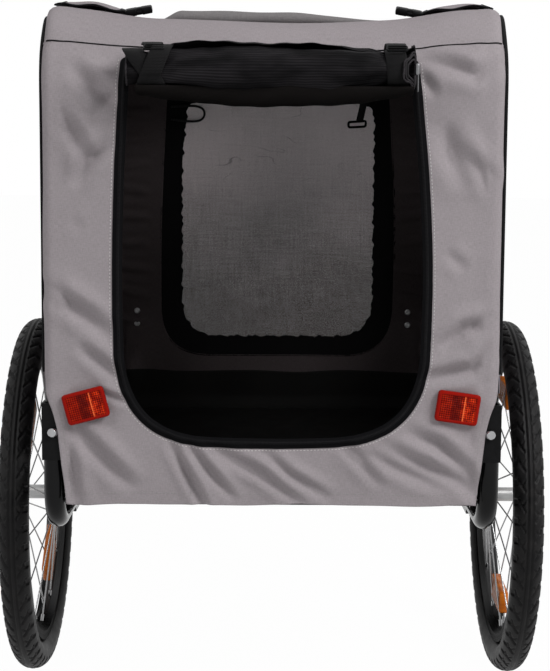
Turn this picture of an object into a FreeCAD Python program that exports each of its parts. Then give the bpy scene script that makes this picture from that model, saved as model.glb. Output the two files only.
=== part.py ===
import FreeCAD, Part
import math
import os

os.makedirs("parts", exist_ok=True)

# Axes while building: X to the right seen from behind, Y forward, Z up from the ground, axle at Y = 0.
# All lengths are in mm. Every piece is moved along Y on export, so that the origin ends under the middle.

# Wheels
wheel_radius = 250.0
wheel_offset = 69.0
tyre_section_radius = 21.0
tyre_wall = 3.5
tyre_arc_degrees = 140.0
bead_radius = 203.0
bead_outer_half_width = 11.0
bead_inner_half_width = 7.5
bead_top_rise = 7.5
rim_half_width = 13.3
rim_flange_rise = 6.5
rim_flange_gap = 0.3
rim_seat_half_width = 7.0
rim_well_half_width = 5.5
rim_well_radius = 196.0
rim_inner_radius = 189.0
rim_shoulder_radius = 198.0
spoke_count_per_side = 14
spoke_radius = 1.0
spoke_lean_degrees = 42.0
spoke_rim_offset = 2.5
nipple_radius = 2.2
nipple_length = 14.0
nipple_end_radius = 193.0
hub_barrel_radius = 10.0
hub_flange_radius = 22.0
hub_flange_place = 24.0
hub_flange_thickness = 3.0
hub_hole_radius = 18.0
hub_half_length = 33.0
hub_end_radius = 15.0
hub_bore_radius = 7.5
bearing_radius = 12.0
bearing_width = 6.0
running_clearance = 0.05
spoke_reflector_long = 84.0
spoke_reflector_high = 32.0
spoke_reflector_thick = 13.0
spoke_reflector_left_turn_degrees = 40.0
spoke_reflector_right_turn_degrees = 4.0
spoke_reflector_radius = 150.0

# Stub axles
axle_radius = 5.95
axle_reach_in = 40.0
axle_head_radius = 9.0
axle_head_thick = 6.0
axle_collar_radius = 9.5
axle_side_gap = 0.4
button_radius = 4.0
button_length = 12.0
button_proud = 3.5
button_bore_depth = 14.0

# Lower frame
frame_half_width = 265.0
left_leg_place = 338.0
nesting_step = 24.0
bow_radius = 12.5
bow_wall = 1.5
bow_over_axle = 35.0
bow_leg_straight = 37.0
bow_joint_gap = 0.05
cross_tube_inset = 118.0
cross_tube_rise = 12.0
axle_tube_wall = 2.0
receiver_length = 60.0
axle_plate_thick = 5.0
axle_plate_half_length = 30.0
axle_plate_lap = 11.0
axle_plate_drop = 22.0
floor_side_inset = 18.0
floor_end_gap = 10.0
floor_thick = 6.0
tub_side_inset = 13.5
tub_end_gap = 3.3
tub_thick = 1.5
tub_top_drop = 21.0

# Hinges
hinge_rise = 116.0
bracket_drop = 34.0
bracket_rise = 36.0
bracket_wall = 2.5
bracket_side_gap = 0.3
bracket_back_gap = 0.6
bracket_inner_reach = 12.5
bolt_radius = 4.0
bolt_dome_radius = 7.0
bolt_dome_height = 5.5
nut_height = 6.0

# Side hoops and top bars
hoop_radius = 10.0
hoop_wall = 1.5
hoop_top = 895.0
hoop_bend = 85.0
hoop_eye_radius = 9.6
hoop_eye_half_length = 9.2
bar_radius = 10.0
bar_wall = 1.2
bar_inset = 38.0
bar_end_inset = 25.0
bar_drop = 3.0
saddle_over_hoop = 5.0
saddle_half_length = 13.0
saddle_foot_drop = 12.0
saddle_gap = 0.2
saddle_top_drop = 9.2

# Cover
cover_gap = 0.3
cover_thick = 2.0
cover_foot_rise = 2.5
roof_edge_drop = 4.0
panel_neck_inset = 13.5
panel_bracket_gap = 6.0
panel_shoulder_rise = 25.0
side_skirt_drop = 17.0
side_skirt_half_length = 290.0
window_half_length = 215.0
window_foot = 530.0
window_top_drop = 95.0
window_bend = 45.0
mesh_thick = 1.0
mesh_lap = 9.0
roof_window_half_width = 160.0
roof_window_half_length = 175.0
roof_window_bend = 25.0

# Rear doorway
door_half_width = 186.0
door_foot = 386.0
door_top_drop = 100.0
door_foot_bend = 92.0
door_top_bend = 18.0
zip_width = 9.0
zip_thick = 1.5
zip_end_gap = 6.0
roll_half_length = 170.0
roll_below_top = 59.0
roll_middle_radius = 29.0
roll_strap_radius = 22.0
roll_end_radius = 18.0
roll_strap_place = 142.0
strap_width = 24.0
strap_thick = 1.5
strap_slack = 1.3
ring_long = 26.0
ring_high = 14.0
ring_wire = 3.0
ring_thick = 4.0
ring_turn_degrees = 62.0
slider_width = 9.0
slider_thick = 6.0
slider_length = 14.0
pull_width = 6.0
pull_length = 26.0
pull_thick = 2.0

# Front door
front_window_half_width = 162.0
front_window_foot = 424.0
front_window_top_drop = 99.0
front_window_bend = 40.0
front_zip_half_width = 198.0
front_zip_foot = 400.0
front_zip_bend = 70.0

# Roof trim
roof_roll_radius = 9.0
roof_roll_half_length = 144.0
roof_roll_place = 205.0
roof_flap_inner = 188.0
roof_flap_edge_gap = 7.0
roof_flap_half_length = 228.0
roof_flap_thick = 2.0
buckle_long = 34.0
buckle_deep = 16.0
buckle_high = 9.0
buckle_bend = 3.0
buckle_place = 168.0
buckle_back = 232.0

# Reflectors, studs, loop and tether
reflector_wide = 52.0
reflector_high = 38.0
reflector_deep = 8.0
reflector_bend = 4.0
reflector_rise = 34.0
reflector_inset = 51.0
reflector_left_turn_degrees = -15.0
reflector_right_turn_degrees = 8.0
stud_radius = 5.0
stud_thick = 1.6
stud_inset = 53.0
stud_heights = (476.0, 455.0)
loop_root = 166.0
loop_end = 118.0
loop_upper_drop = 87.0
loop_height = 20.0
loop_radius = 1.4
loop_bend = 9.0
loop_inset = 3.2
tether_place = 138.0
tether_width = 11.0
tether_thick = 2.0
tether_length = 75.0
hook_long = 26.0
hook_wide = 9.0
hook_shift = 9.0
hook_wire = 2.0

# Drawbar and hitch
pivot_inset = 90.0
pivot_ahead = 62.0
bracket_half_width = 25.0
lower_plate_thick = 6.5
upper_plate_thick = 5.0
plate_back_lap = 20.0
plate_front_lap = 24.0
web_setback = 40.0
web_thick = 6.0
drawbar_radius = 12.0
drawbar_wall = 2.0
drawbar_side_gap = 0.5
drawbar_eye_radius = 16.0
drawbar_bend = 130.0
drawbar_straight_run = 160.0
drawbar_turn_run = 170.0
drawbar_end_run = 142.0
hitch_across = 95.0
hitch_height = 325.0
pivot_bolt_radius = 4.95
pivot_head_radius = 8.0
pivot_head_height = 6.0
knob_radius = 17.0
knob_lobe_radius = 6.0
knob_lobes = 6
knob_height = 18.0
knob_gap = 0.4
coupling_length = 46.0
coupling_radius = 15.0
coupling_groove = 3.0
coupling_ribs = 4
clevis_half_width = 14.0
clevis_length = 39.0
clevis_plate = 5.0
clevis_web = 5.0
clevis_pin_reach = 27.0
tongue_half_thick = 3.0
tongue_gap = 0.5
tongue_half_width = 12.0
axle_tab_start = 23.0
axle_tab_length = 52.0
axle_tab_half_height = 22.0
axle_tab_thick = 5.0
axle_tab_across = 15.0
axle_hole_radius = 5.2
axle_hole_reach = 50.0
pin_radius = 4.0
pin_head_radius = 8.0
pin_head_height = 5.0
pin_tail = 10.0

# One overrun serves every cut
overrun = 5.0

# Places worked out from the sizes above
bow_height = wheel_radius + bow_over_axle
hinge_height = bow_height + hinge_rise
bracket_foot = hinge_height - bracket_drop
bracket_top = hinge_height + bracket_rise
bow_bend = hinge_rise - bracket_drop - bow_leg_straight
cross_tube_height = bow_height + cross_tube_rise
floor_foot = cross_tube_height + bow_radius
right_leg_place = left_leg_place - nesting_step
cross_tube_place = left_leg_place - cross_tube_inset
wheel_place = frame_half_width + wheel_offset
plate_inner = frame_half_width + bow_radius
plate_outer = plate_inner + axle_plate_thick
axle_inner_end = frame_half_width - axle_reach_in
hub_outer_end = wheel_place + hub_half_length
hub_inner_end = wheel_place - hub_half_length
bend_height = hoop_top - hoop_bend
bend_place = left_leg_place - hoop_bend
bar_place = bend_place - bar_inset
bar_half_length = frame_half_width - bar_end_inset
bar_height = hoop_top - hoop_radius - bar_drop - bar_radius
bar_under = bar_height - bar_radius
saddle_reach = frame_half_width + saddle_over_hoop
cover_inner = left_leg_place + hoop_radius + cover_gap
cover_outer = cover_inner + cover_thick
cover_half_width = frame_half_width + hoop_radius
cover_foot = floor_foot + cover_foot_rise
wall_inner = frame_half_width + hoop_radius + cover_gap
roof_under = hoop_top + hoop_radius + cover_gap
roof_over = roof_under + cover_thick
roof_edge = bend_height - roof_edge_drop
panel_neck_half_width = frame_half_width - panel_neck_inset
panel_neck_top = bracket_top + panel_bracket_gap
panel_shoulder = panel_neck_top + panel_shoulder_rise
side_wall_foot = bracket_top + panel_bracket_gap
side_skirt_foot = hinge_height - side_skirt_drop
tub_half_width = frame_half_width - tub_side_inset
tub_half_length = cover_inner - tub_end_gap
tub_top = hinge_height - tub_top_drop
floor_half_width = frame_half_width - floor_side_inset
floor_half_length = tub_half_length - tub_thick - floor_end_gap
window_top = hoop_top - window_top_drop
front_window_top = hoop_top - front_window_top_drop
door_top = hoop_top - door_top_drop
roll_height = hoop_top - roll_below_top
roll_drop = roll_height - bend_height
roll_reach = cover_outer - bend_place + roll_middle_radius + cover_gap
roll_place = bend_place + math.sqrt(roll_reach ** 2 - roll_drop ** 2)
roof_flap_outer = cover_half_width - roof_flap_edge_gap
reflector_height = hinge_height + reflector_rise
reflector_place = cover_half_width - reflector_inset
stud_place = cover_half_width - stud_inset
loop_upper = hoop_top - loop_upper_drop
loop_lower = loop_upper - loop_height
tether_end = bar_under - tether_length
pivot_across = frame_half_width - pivot_inset
pivot_forward = left_leg_place + pivot_ahead
plate_back = cross_tube_place - plate_back_lap
plate_front = pivot_forward + plate_front_lap
web_back = pivot_forward - web_setback
drawbar_straight_end = pivot_forward + drawbar_straight_run
drawbar_turn_end = drawbar_straight_end + drawbar_turn_run
drawbar_end = drawbar_turn_end + drawbar_end_run
coupling_end = drawbar_end + coupling_length
pin_forward = coupling_end + clevis_pin_reach
rear_most = roll_place + roll_middle_radius
front_most = pin_forward + axle_tab_start + axle_tab_length
origin_shift = (rear_most - front_most) / 2
left_side = -1
right_side = 1
sides = (left_side, right_side)
pivot_x = left_side * pivot_across
hitch_x = left_side * hitch_across
side_names = {left_side: "left", right_side: "right"}
leg_places = {left_side: left_leg_place, right_side: right_leg_place}


def at(x, y, z):
    return FreeCAD.Vector(x, y, z)


across = at(1, 0, 0)
forward = at(0, 1, 0)
upward = at(0, 0, 1)


def block(x_one, x_two, y_one, y_two, z_one, z_two):
    """A box between two values on each axis, given in either order."""
    low = at(min(x_one, x_two), min(y_one, y_two), min(z_one, z_two))
    size = at(abs(x_two - x_one), abs(y_two - y_one), abs(z_two - z_one))
    return Part.makeBox(size.x, size.y, size.z, low)


def rod(start, end, radius):
    run = end.sub(start)
    return Part.makeCylinder(radius, run.Length, start, run)


def corner_arc(before, corner, after, bend):
    """First point, middle point and last point of the arc that rounds a corner."""
    back = before.sub(corner).normalize()
    ahead = after.sub(corner).normalize()
    half_angle = back.getAngle(ahead) / 2
    reach = bend / math.tan(half_angle)
    middle_reach = bend / math.sin(half_angle) - bend
    inward = back.add(ahead).normalize()
    return corner.add(back * reach), corner.add(inward * middle_reach), corner.add(ahead * reach)


def bent_path(corners, bend):
    """Straight runs through the corners with one tangent arc at each inner corner."""
    edges = []
    start = corners[0]
    for before, corner, after in zip(corners, corners[1:], corners[2:]):
        first, middle, last = corner_arc(before, corner, after, bend)
        edges.append(Part.makeLine(start, first))
        edges.append(Part.Arc(first, middle, last).toShape())
        start = last
    edges.append(Part.makeLine(start, corners[-1]))
    return Part.Wire(edges)


def outline(corners, bends):
    """A closed wire through the corners, each rounded by its own bend; a bend of 0 stays sharp."""
    arcs = []
    count = len(corners)
    for i, corner in enumerate(corners):
        if bends[i] > 0:
            arcs.append(corner_arc(corners[i - 1], corner, corners[(i + 1) % count], bends[i]))
        else:
            arcs.append((corner, None, corner))
    edges = []
    for i, (first, middle, last) in enumerate(arcs):
        if middle is not None:
            edges.append(Part.Arc(first, middle, last).toShape())
        edges.append(Part.makeLine(last, arcs[(i + 1) % count][0]))
    return Part.Wire(edges)


def swept(path, radius):
    """A round bar along a path."""
    edge = path.Edges[0]
    ring = Part.Wire(Part.makeCircle(radius, edge.Vertexes[0].Point, edge.tangentAt(edge.FirstParameter)))
    return path.makePipeShell([ring], True, False)


def tube(path, radius, wall):
    return swept(path, radius).cut(swept(path, radius - wall))


def sheet(outer, holes, depth):
    """A flat sheet: the outline without its holes, pushed along depth."""
    face = Part.Face(outer)
    for hole in holes:
        face = face.cut(Part.Face(hole))
    return face.extrude(depth)


def turned(points, base, axis):
    """A solid of revolution from a closed line of points."""
    face = Part.Face(Part.makePolygon(points + points[:1]))
    return face.revolve(base, axis, 360)


def save(name, shapes):
    """One node: a solid, or a group of separate solids, moved so that the origin is under the middle."""
    solids = []
    for shape in shapes:
        solids += shape.Solids
    group = solids[0] if len(solids) == 1 else Part.makeCompound(solids)
    group.translate(at(0, origin_shift, 0))
    group.exportStep("parts/" + name + ".step")


def upright_rectangle(half_width, foot, top, y, foot_bend, top_bend):
    corners = [at(-half_width, y, foot), at(half_width, y, foot),
               at(half_width, y, top), at(-half_width, y, top)]
    return outline(corners, [foot_bend, foot_bend, top_bend, top_bend])


# Lower side bows: each a bent tube whose ends stand up under the hinge brackets
for side in sides:
    x = side * frame_half_width
    corners = [at(x, -left_leg_place, bracket_foot), at(x, -left_leg_place, bow_height),
               at(x, left_leg_place, bow_height), at(x, left_leg_place, bracket_foot)]
    path = bent_path(corners, bow_bend)
    save(side_names[side] + "_lower_bow", [tube(path, bow_radius, bow_wall)])

# Rear and front cross tubes, welded on the bows, their ends cut to fit round them
cross_tubes = []
for y in (-cross_tube_place, cross_tube_place):
    ends = at(-frame_half_width, y, cross_tube_height), at(frame_half_width, y, cross_tube_height)
    cross = rod(*ends, bow_radius).cut(rod(*ends, bow_radius - bow_wall))
    for x in (-frame_half_width, frame_half_width):
        bow_run = rod(at(x, -left_leg_place, bow_height), at(x, left_leg_place, bow_height),
                      bow_radius + bow_joint_gap)
        cross = cross.cut(bow_run)
    cross_tubes.append(cross)
save("base_cross_tubes", cross_tubes)

# Axle cross tube, with a bored receiver in each end, and the plates that hang it from the bows
axle_ends = at(-plate_inner, 0, wheel_radius), at(plate_inner, 0, wheel_radius)
save("axle_cross_tube", [rod(*axle_ends, bow_radius).cut(rod(*axle_ends, bow_radius - axle_tube_wall))])
receivers = []
plates = []
for side in sides:
    start = at(side * plate_inner, 0, wheel_radius)
    end = at(side * (plate_inner - receiver_length), 0, wheel_radius)
    bore = rod(at(side * (plate_outer + overrun), 0, wheel_radius),
               at(side * (axle_inner_end - 2 * receiver_length), 0, wheel_radius),
               axle_radius + running_clearance)
    receivers.append(rod(start, end, bow_radius - axle_tube_wall).cut(bore))
    plate = block(side * plate_inner, side * plate_outer, -axle_plate_half_length, axle_plate_half_length,
                  wheel_radius - axle_plate_drop, bow_height + axle_plate_lap)
    plates.append(plate.cut(bore))
save("axle_receivers", receivers)
save("axle_plates", plates)

# Floor board on the cross tubes, and the black tub round it
save("floor_board", [block(-floor_half_width, floor_half_width, -floor_half_length, floor_half_length,
                           floor_foot, floor_foot + floor_thick)])
tub = block(-tub_half_width, tub_half_width, -tub_half_length, tub_half_length, floor_foot, tub_top)
tub_inside = block(tub_thick - tub_half_width, tub_half_width - tub_thick,
                   tub_thick - tub_half_length, tub_half_length - tub_thick, floor_foot - overrun,
                   tub_top + overrun)
save("floor_tub", [tub.cut(tub_inside)])

# Hinge brackets, open towards the cabin, and their bolts with domed heads and nuts. The right ones reach in
# from their bow to the nested hoop, with a second pocket between
brackets = []
bolts = []
half_gap = hoop_radius + bracket_side_gap
half_outer = half_gap + bracket_wall
for side in sides:
    x = side * frame_half_width
    inner_face = x - side * bracket_inner_reach
    back_inner = x + side * (hoop_radius + bracket_back_gap)
    back_outer = back_inner + side * bracket_wall
    for end in (-1, 1):
        leg = leg_places[side]
        y = end * leg
        outer_face = end * (left_leg_place + half_outer)
        body = block(inner_face, back_outer, y - end * half_outer, outer_face, bracket_foot, bracket_top)
        space = block(inner_face - side * overrun, back_inner, y - half_gap, y + half_gap,
                      bracket_foot + bracket_wall, bracket_top + overrun)
        pin_inner = at(x, y - end * half_outer, hinge_height)
        pin_outer = at(x, outer_face, hinge_height)
        hole = rod(pin_inner.sub(at(0, end * overrun, 0)), pin_outer.add(at(0, end * overrun, 0)),
                   bolt_radius + running_clearance)
        body = body.cut(space)
        pocket_start = leg + half_outer
        pocket_end = left_leg_place + half_gap
        if pocket_end > pocket_start:
            pocket = block(inner_face - side * overrun, back_inner, end * pocket_start, end * pocket_end,
                           bracket_foot + bracket_wall, bracket_top + overrun)
            body = body.cut(pocket)
        brackets.append(body.cut(hole))
        dome = Part.makeSphere(bolt_dome_radius, pin_outer)
        keep = block(x - bolt_dome_radius, x + bolt_dome_radius, pin_outer.y,
                     pin_outer.y + end * bolt_dome_height,
                     hinge_height - bolt_dome_radius, hinge_height + bolt_dome_radius)
        nut_end = pin_inner.sub(at(0, end * nut_height, 0))
        nut = rod(pin_inner, nut_end, bolt_dome_radius)
        bolts.append(rod(pin_inner, pin_outer,
                         bolt_radius).fuse(dome.common(keep)).fuse(nut).removeSplitter())
save("hinge_brackets", brackets)
save("hinge_bolts", bolts)

# Side hoops: bent tubes that fold inwards on the hinge bolts; the right one nests inside the left one
for side in sides:
    x = side * frame_half_width
    leg = leg_places[side]
    corners = [at(x, -leg, hinge_height), at(x, -leg, hoop_top),
               at(x, leg, hoop_top), at(x, leg, hinge_height)]
    hoop = tube(bent_path(corners, hoop_bend), hoop_radius, hoop_wall)
    for end in (-1, 1):
        eye_start = at(x, end * leg - hoop_eye_half_length, hinge_height)
        eye_end = at(x, end * leg + hoop_eye_half_length, hinge_height)
        hoop = hoop.fuse(rod(eye_start, eye_end, hoop_eye_radius))
    bolt_reach = leg + hoop_radius + overrun
    bolt_start = at(x, -bolt_reach, hinge_height)
    bolt_end = at(x, bolt_reach, hinge_height)
    hoop = hoop.cut(rod(bolt_start, bolt_end, bolt_radius + running_clearance))
    save(side_names[side] + "_side_hoop", [hoop.removeSplitter()])

# Side walls on the hoops, each with a mesh window and a skirt between the hinge brackets
for side in sides:
    x = side * wall_inner
    corners = [at(x, -cover_outer, side_wall_foot), at(x, -cover_outer, roof_over),
               at(x, cover_outer, roof_over), at(x, cover_outer, side_wall_foot),
               at(x, side_skirt_half_length, side_wall_foot),
               at(x, side_skirt_half_length, side_skirt_foot),
               at(x, -side_skirt_half_length, side_skirt_foot),
               at(x, -side_skirt_half_length, side_wall_foot)]
    roof_bend = cover_outer - bend_place
    edge = outline(corners, [0, roof_bend, roof_bend, 0, 0, 0, 0, 0])
    window = [at(x, -window_half_length, window_foot), at(x, -window_half_length, window_top),
              at(x, window_half_length, window_top), at(x, window_half_length, window_foot)]
    hole = outline(window, [window_bend] * 4)
    save(side_names[side] + "_side_wall", [sheet(edge, [hole], at(side * cover_thick, 0, 0))])
    save(side_names[side] + "_window_mesh",
         [block(x, x - side * mesh_thick, -window_half_length - mesh_lap, window_half_length + mesh_lap,
                window_foot - mesh_lap, window_top + mesh_lap)])

# Rear and front top bars under the hoops, with a shallow saddle at each end
top_bars = []
saddles = []
for y in (-bar_place, bar_place):
    ends = at(-bar_half_length, y, bar_height), at(bar_half_length, y, bar_height)
    top_bars.append(rod(*ends, bar_radius).cut(rod(*ends, bar_radius - bar_wall)))
    for side in sides:
        saddle = block(side * bar_half_length, side * saddle_reach, y - saddle_half_length,
                       y + saddle_half_length,
                       bar_height - saddle_foot_drop, hoop_top - saddle_top_drop)
        groove_x = side * frame_half_width
        groove = rod(at(groove_x, y - saddle_half_length - overrun, hoop_top),
                     at(groove_x, y + saddle_half_length + overrun, hoop_top), hoop_radius + saddle_gap)
        saddles.append(saddle.cut(groove))
save("top_bars", top_bars)
save("top_bar_saddles", saddles)


def end_panel(y):
    """Outline of the rear or front panel: narrow between the brackets, wide above them."""
    right_edge = [at(panel_neck_half_width, y, cover_foot), at(panel_neck_half_width, y, panel_neck_top),
                  at(cover_half_width, y, panel_shoulder), at(cover_half_width, y, roof_edge)]
    left_edge = [at(-p.x, p.y, p.z) for p in reversed(right_edge)]
    return outline(right_edge + left_edge, [0] * (len(right_edge) + len(left_edge)))


def zip_band(half_width, foot, top, y, foot_bend, thick):
    """A flat band up both sides of a doorway and round its foot, open at the top."""
    outer = upright_rectangle(half_width + zip_width, foot - zip_width, top, y, foot_bend + zip_width, 0)
    inner = upright_rectangle(half_width, foot, top + overrun, y, foot_bend, 0)
    return sheet(outer, [inner], at(0, thick, 0))


# Rear panel with its doorway, and the zip round it, which is saved with the front one
doorway = upright_rectangle(door_half_width, door_foot, door_top, -cover_outer, door_foot_bend,
                            door_top_bend)
save("rear_panel", [sheet(end_panel(-cover_outer), [doorway], at(0, cover_thick, 0))])
rear_zip = zip_band(door_half_width, door_foot, door_top - zip_end_gap, -cover_outer, door_foot_bend,
                    -zip_thick)

# Front panel with its mesh window and zip
front_window = upright_rectangle(front_window_half_width, front_window_foot, front_window_top, cover_inner,
                                 front_window_bend, front_window_bend)
save("front_panel", [sheet(end_panel(cover_inner), [front_window], at(0, cover_thick, 0))])
save("front_mesh_window", [block(-front_window_half_width - mesh_lap, front_window_half_width + mesh_lap,
                                 cover_inner - mesh_thick, cover_inner,
                                 front_window_foot - mesh_lap, front_window_top + mesh_lap)])
front_zip = zip_band(front_zip_half_width, front_zip_foot, front_window_top, cover_outer, front_zip_bend,
                     zip_thick)
save("door_zips", [rear_zip, front_zip])

# Roof cover: one sheet bent down over the hoops' front and rear bends, with a mesh window
outer_bend = cover_outer - bend_place
inner_bend = cover_inner - bend_place
roof_corners = []
for y, z in ((-cover_outer, roof_edge), (-cover_outer, roof_over),
             (cover_outer, roof_over), (cover_outer, roof_edge),
             (cover_inner, roof_edge), (cover_inner, roof_under),
             (-cover_inner, roof_under), (-cover_inner, roof_edge)):
    roof_corners.append(at(-cover_half_width, y, z))
roof_edges = outline(roof_corners, [0, outer_bend, outer_bend, 0, 0, inner_bend, inner_bend, 0])
roof = Part.Face(roof_edges).extrude(at(2 * cover_half_width, 0, 0))
roof_window_corners = [at(-roof_window_half_width, -roof_window_half_length, roof_under - overrun),
                       at(roof_window_half_width, -roof_window_half_length, roof_under - overrun),
                       at(roof_window_half_width, roof_window_half_length, roof_under - overrun),
                       at(-roof_window_half_width, roof_window_half_length, roof_under - overrun)]
roof_hole = Part.Face(outline(roof_window_corners, [roof_window_bend] * 4)).extrude(
    at(0, 0, cover_thick + 2 * overrun))
save("roof_cover", [roof.cut(roof_hole)])
save("roof_mesh", [block(-roof_window_half_width - mesh_lap, roof_window_half_width + mesh_lap,
                         -roof_window_half_length - mesh_lap, roof_window_half_length + mesh_lap,
                         roof_under - mesh_thick, roof_under)])

# Rolled-up roof flap at the rear of the roof window, its two buckles, and the flaps along both sides
roof_roll_height = roof_over + roof_roll_radius
save("roof_roll", [rod(at(-roof_roll_half_length, -roof_roll_place, roof_roll_height),
                       at(roof_roll_half_length, -roof_roll_place, roof_roll_height), roof_roll_radius)])
roof_buckles = []
roof_flaps = []
for side in sides:
    x = side * buckle_place
    body = block(x - buckle_long / 2, x + buckle_long / 2, -buckle_back, buckle_deep - buckle_back,
                 roof_over, roof_over + buckle_high)
    directions = [(e, e.tangentAt(0)) for e in body.Edges]
    upright_edges = [e for e, d in directions if abs(d.z) > abs(d.x + d.y)]
    roof_buckles.append(body.makeFillet(buckle_bend, upright_edges))
    roof_flaps.append(block(side * roof_flap_inner, side * roof_flap_outer, -roof_flap_half_length,
                            roof_flap_half_length, roof_over, roof_over + roof_flap_thick))
save("roof_buckles", roof_buckles)
save("roof_flaps", roof_flaps)


def roll_point(x, radius):
    return at(x, -roll_place, roll_height + radius)


# Rolled-up rear door: full in the middle and drawn in at the straps
middle_arc = Part.Arc(roll_point(-roll_strap_place, roll_strap_radius), roll_point(0, roll_middle_radius),
                      roll_point(roll_strap_place, roll_strap_radius)).toShape()
roll_edges = [
    Part.makeLine(roll_point(-roll_half_length, 0), roll_point(-roll_half_length, roll_end_radius)),
    Part.makeLine(roll_point(-roll_half_length, roll_end_radius),
                  roll_point(-roll_strap_place, roll_strap_radius)),
    middle_arc,
    Part.makeLine(roll_point(roll_strap_place, roll_strap_radius),
                  roll_point(roll_half_length, roll_end_radius)),
    Part.makeLine(roll_point(roll_half_length, roll_end_radius), roll_point(roll_half_length, 0)),
    Part.makeLine(roll_point(roll_half_length, 0), roll_point(-roll_half_length, 0)),
]
save("rear_door_roll", [Part.Face(Part.Wire(roll_edges)).revolve(roll_point(0, 0), across, 360)])

# Straps round the roll, each with a ladder-lock buckle near its top
roll_straps = []
roll_buckles = []
strap_inner = roll_strap_radius + strap_slack
strap_outer = strap_inner + strap_thick
for side in sides:
    x = side * roll_strap_place
    near = roll_point(x - strap_width / 2, 0)
    far = roll_point(x + strap_width / 2, 0)
    roll_straps.append(rod(near, far, strap_outer).cut(rod(near, far, strap_inner)))
    back = -roll_place - strap_outer
    frame_outer = block(x - ring_long / 2, x + ring_long / 2, back, back - ring_thick,
                        roll_height - ring_high / 2, roll_height + ring_high / 2)
    frame_hole = block(x - ring_long / 2 + ring_wire, x + ring_long / 2 - ring_wire, back + overrun,
                       back - ring_thick - overrun,
                       roll_height - ring_high / 2 + ring_wire, roll_height + ring_high / 2 - ring_wire)
    ring = frame_outer.cut(frame_hole)
    ring.rotate(roll_point(0, 0), across, -ring_turn_degrees)
    roll_buckles.append(ring)
save("roll_straps", roll_straps)
save("roll_buckles", roll_buckles)

# Zip slider at the right end of the roll, with its pull
slider_x = roll_half_length
slider_y = -roll_place
slider_body = block(slider_x, slider_x + slider_thick, slider_y - slider_width / 2,
                    slider_y + slider_width / 2,
                    roll_height - slider_length / 2, roll_height + slider_length / 2)
pull_top = roll_height - slider_length / 2
pull = block(slider_x, slider_x + pull_thick, slider_y - pull_width / 2, slider_y + pull_width / 2,
             pull_top, pull_top - pull_length)
save("zip_slider", [slider_body.fuse(pull).removeSplitter()])

# Red rear reflectors, each turned a little in the plane of the panel
reflectors = []
for side, turn in ((left_side, reflector_left_turn_degrees), (right_side, reflector_right_turn_degrees)):
    x = side * reflector_place
    half_wide = reflector_wide / 2
    half_high = reflector_high / 2
    corners = [at(x - half_wide, -cover_outer, reflector_height - half_high),
               at(x + half_wide, -cover_outer, reflector_height - half_high),
               at(x + half_wide, -cover_outer, reflector_height + half_high),
               at(x - half_wide, -cover_outer, reflector_height + half_high)]
    body = sheet(outline(corners, [reflector_bend] * 4), [], at(0, -reflector_deep, 0))
    body.rotate(at(x, -cover_outer, reflector_height), forward, turn)
    reflectors.append(body)
save("rear_reflectors", reflectors)

# Press studs inside the front panel
studs = []
for side in sides:
    for height in stud_heights:
        studs.append(rod(at(side * stud_place, cover_inner, height),
                         at(side * stud_place, cover_inner - stud_thick, height), stud_radius))
save("press_studs", studs)

# Cord loop that hangs at the left of the front window
loop_y = cover_inner - loop_inset
loop_corners = [at(-loop_root, loop_y, loop_upper), at(-loop_end, loop_y, loop_upper),
                at(-loop_end, loop_y, loop_lower), at(-loop_root, loop_y, loop_lower)]
save("hanging_loop", [swept(bent_path(loop_corners, loop_bend), loop_radius)])

# Tether strap under the front top bar, and the clip on its end
save("tether_strap", [block(tether_place - tether_width / 2, tether_place + tether_width / 2,
                            bar_place - tether_thick / 2, bar_place + tether_thick / 2, tether_end,
                            bar_under)])
hook_place = tether_place - hook_shift
hook_height = tether_end - hook_wide / 2 - hook_wire
hook_corners = [at(hook_place - hook_long / 2, bar_place, hook_height - hook_wide / 2),
                at(hook_place + hook_long / 2, bar_place, hook_height - hook_wide / 2),
                at(hook_place + hook_long / 2, bar_place, hook_height + hook_wide / 2),
                at(hook_place - hook_long / 2, bar_place, hook_height + hook_wide / 2)]
hook_path = outline(hook_corners, [hook_wide / 2 - hook_wire] * 4)
hook_start = hook_path.Edges[0]
hook_ring = Part.Wire(Part.makeCircle(hook_wire, hook_start.Vertexes[0].Point,
                                      hook_start.tangentAt(hook_start.FirstParameter)))
save("tether_clip", [hook_path.makePipeShell([hook_ring], True, False)])


def wheel_points(pairs, x):
    """Section points of a wheel piece, given as distance from the wheel's plane and radius."""
    return [at(x + p, 0, wheel_radius + r) for p, r in pairs]


axle_base = at(0, 0, wheel_radius)
tyre_middle = wheel_radius - tyre_section_radius
arc_end = math.radians(tyre_arc_degrees)


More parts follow.
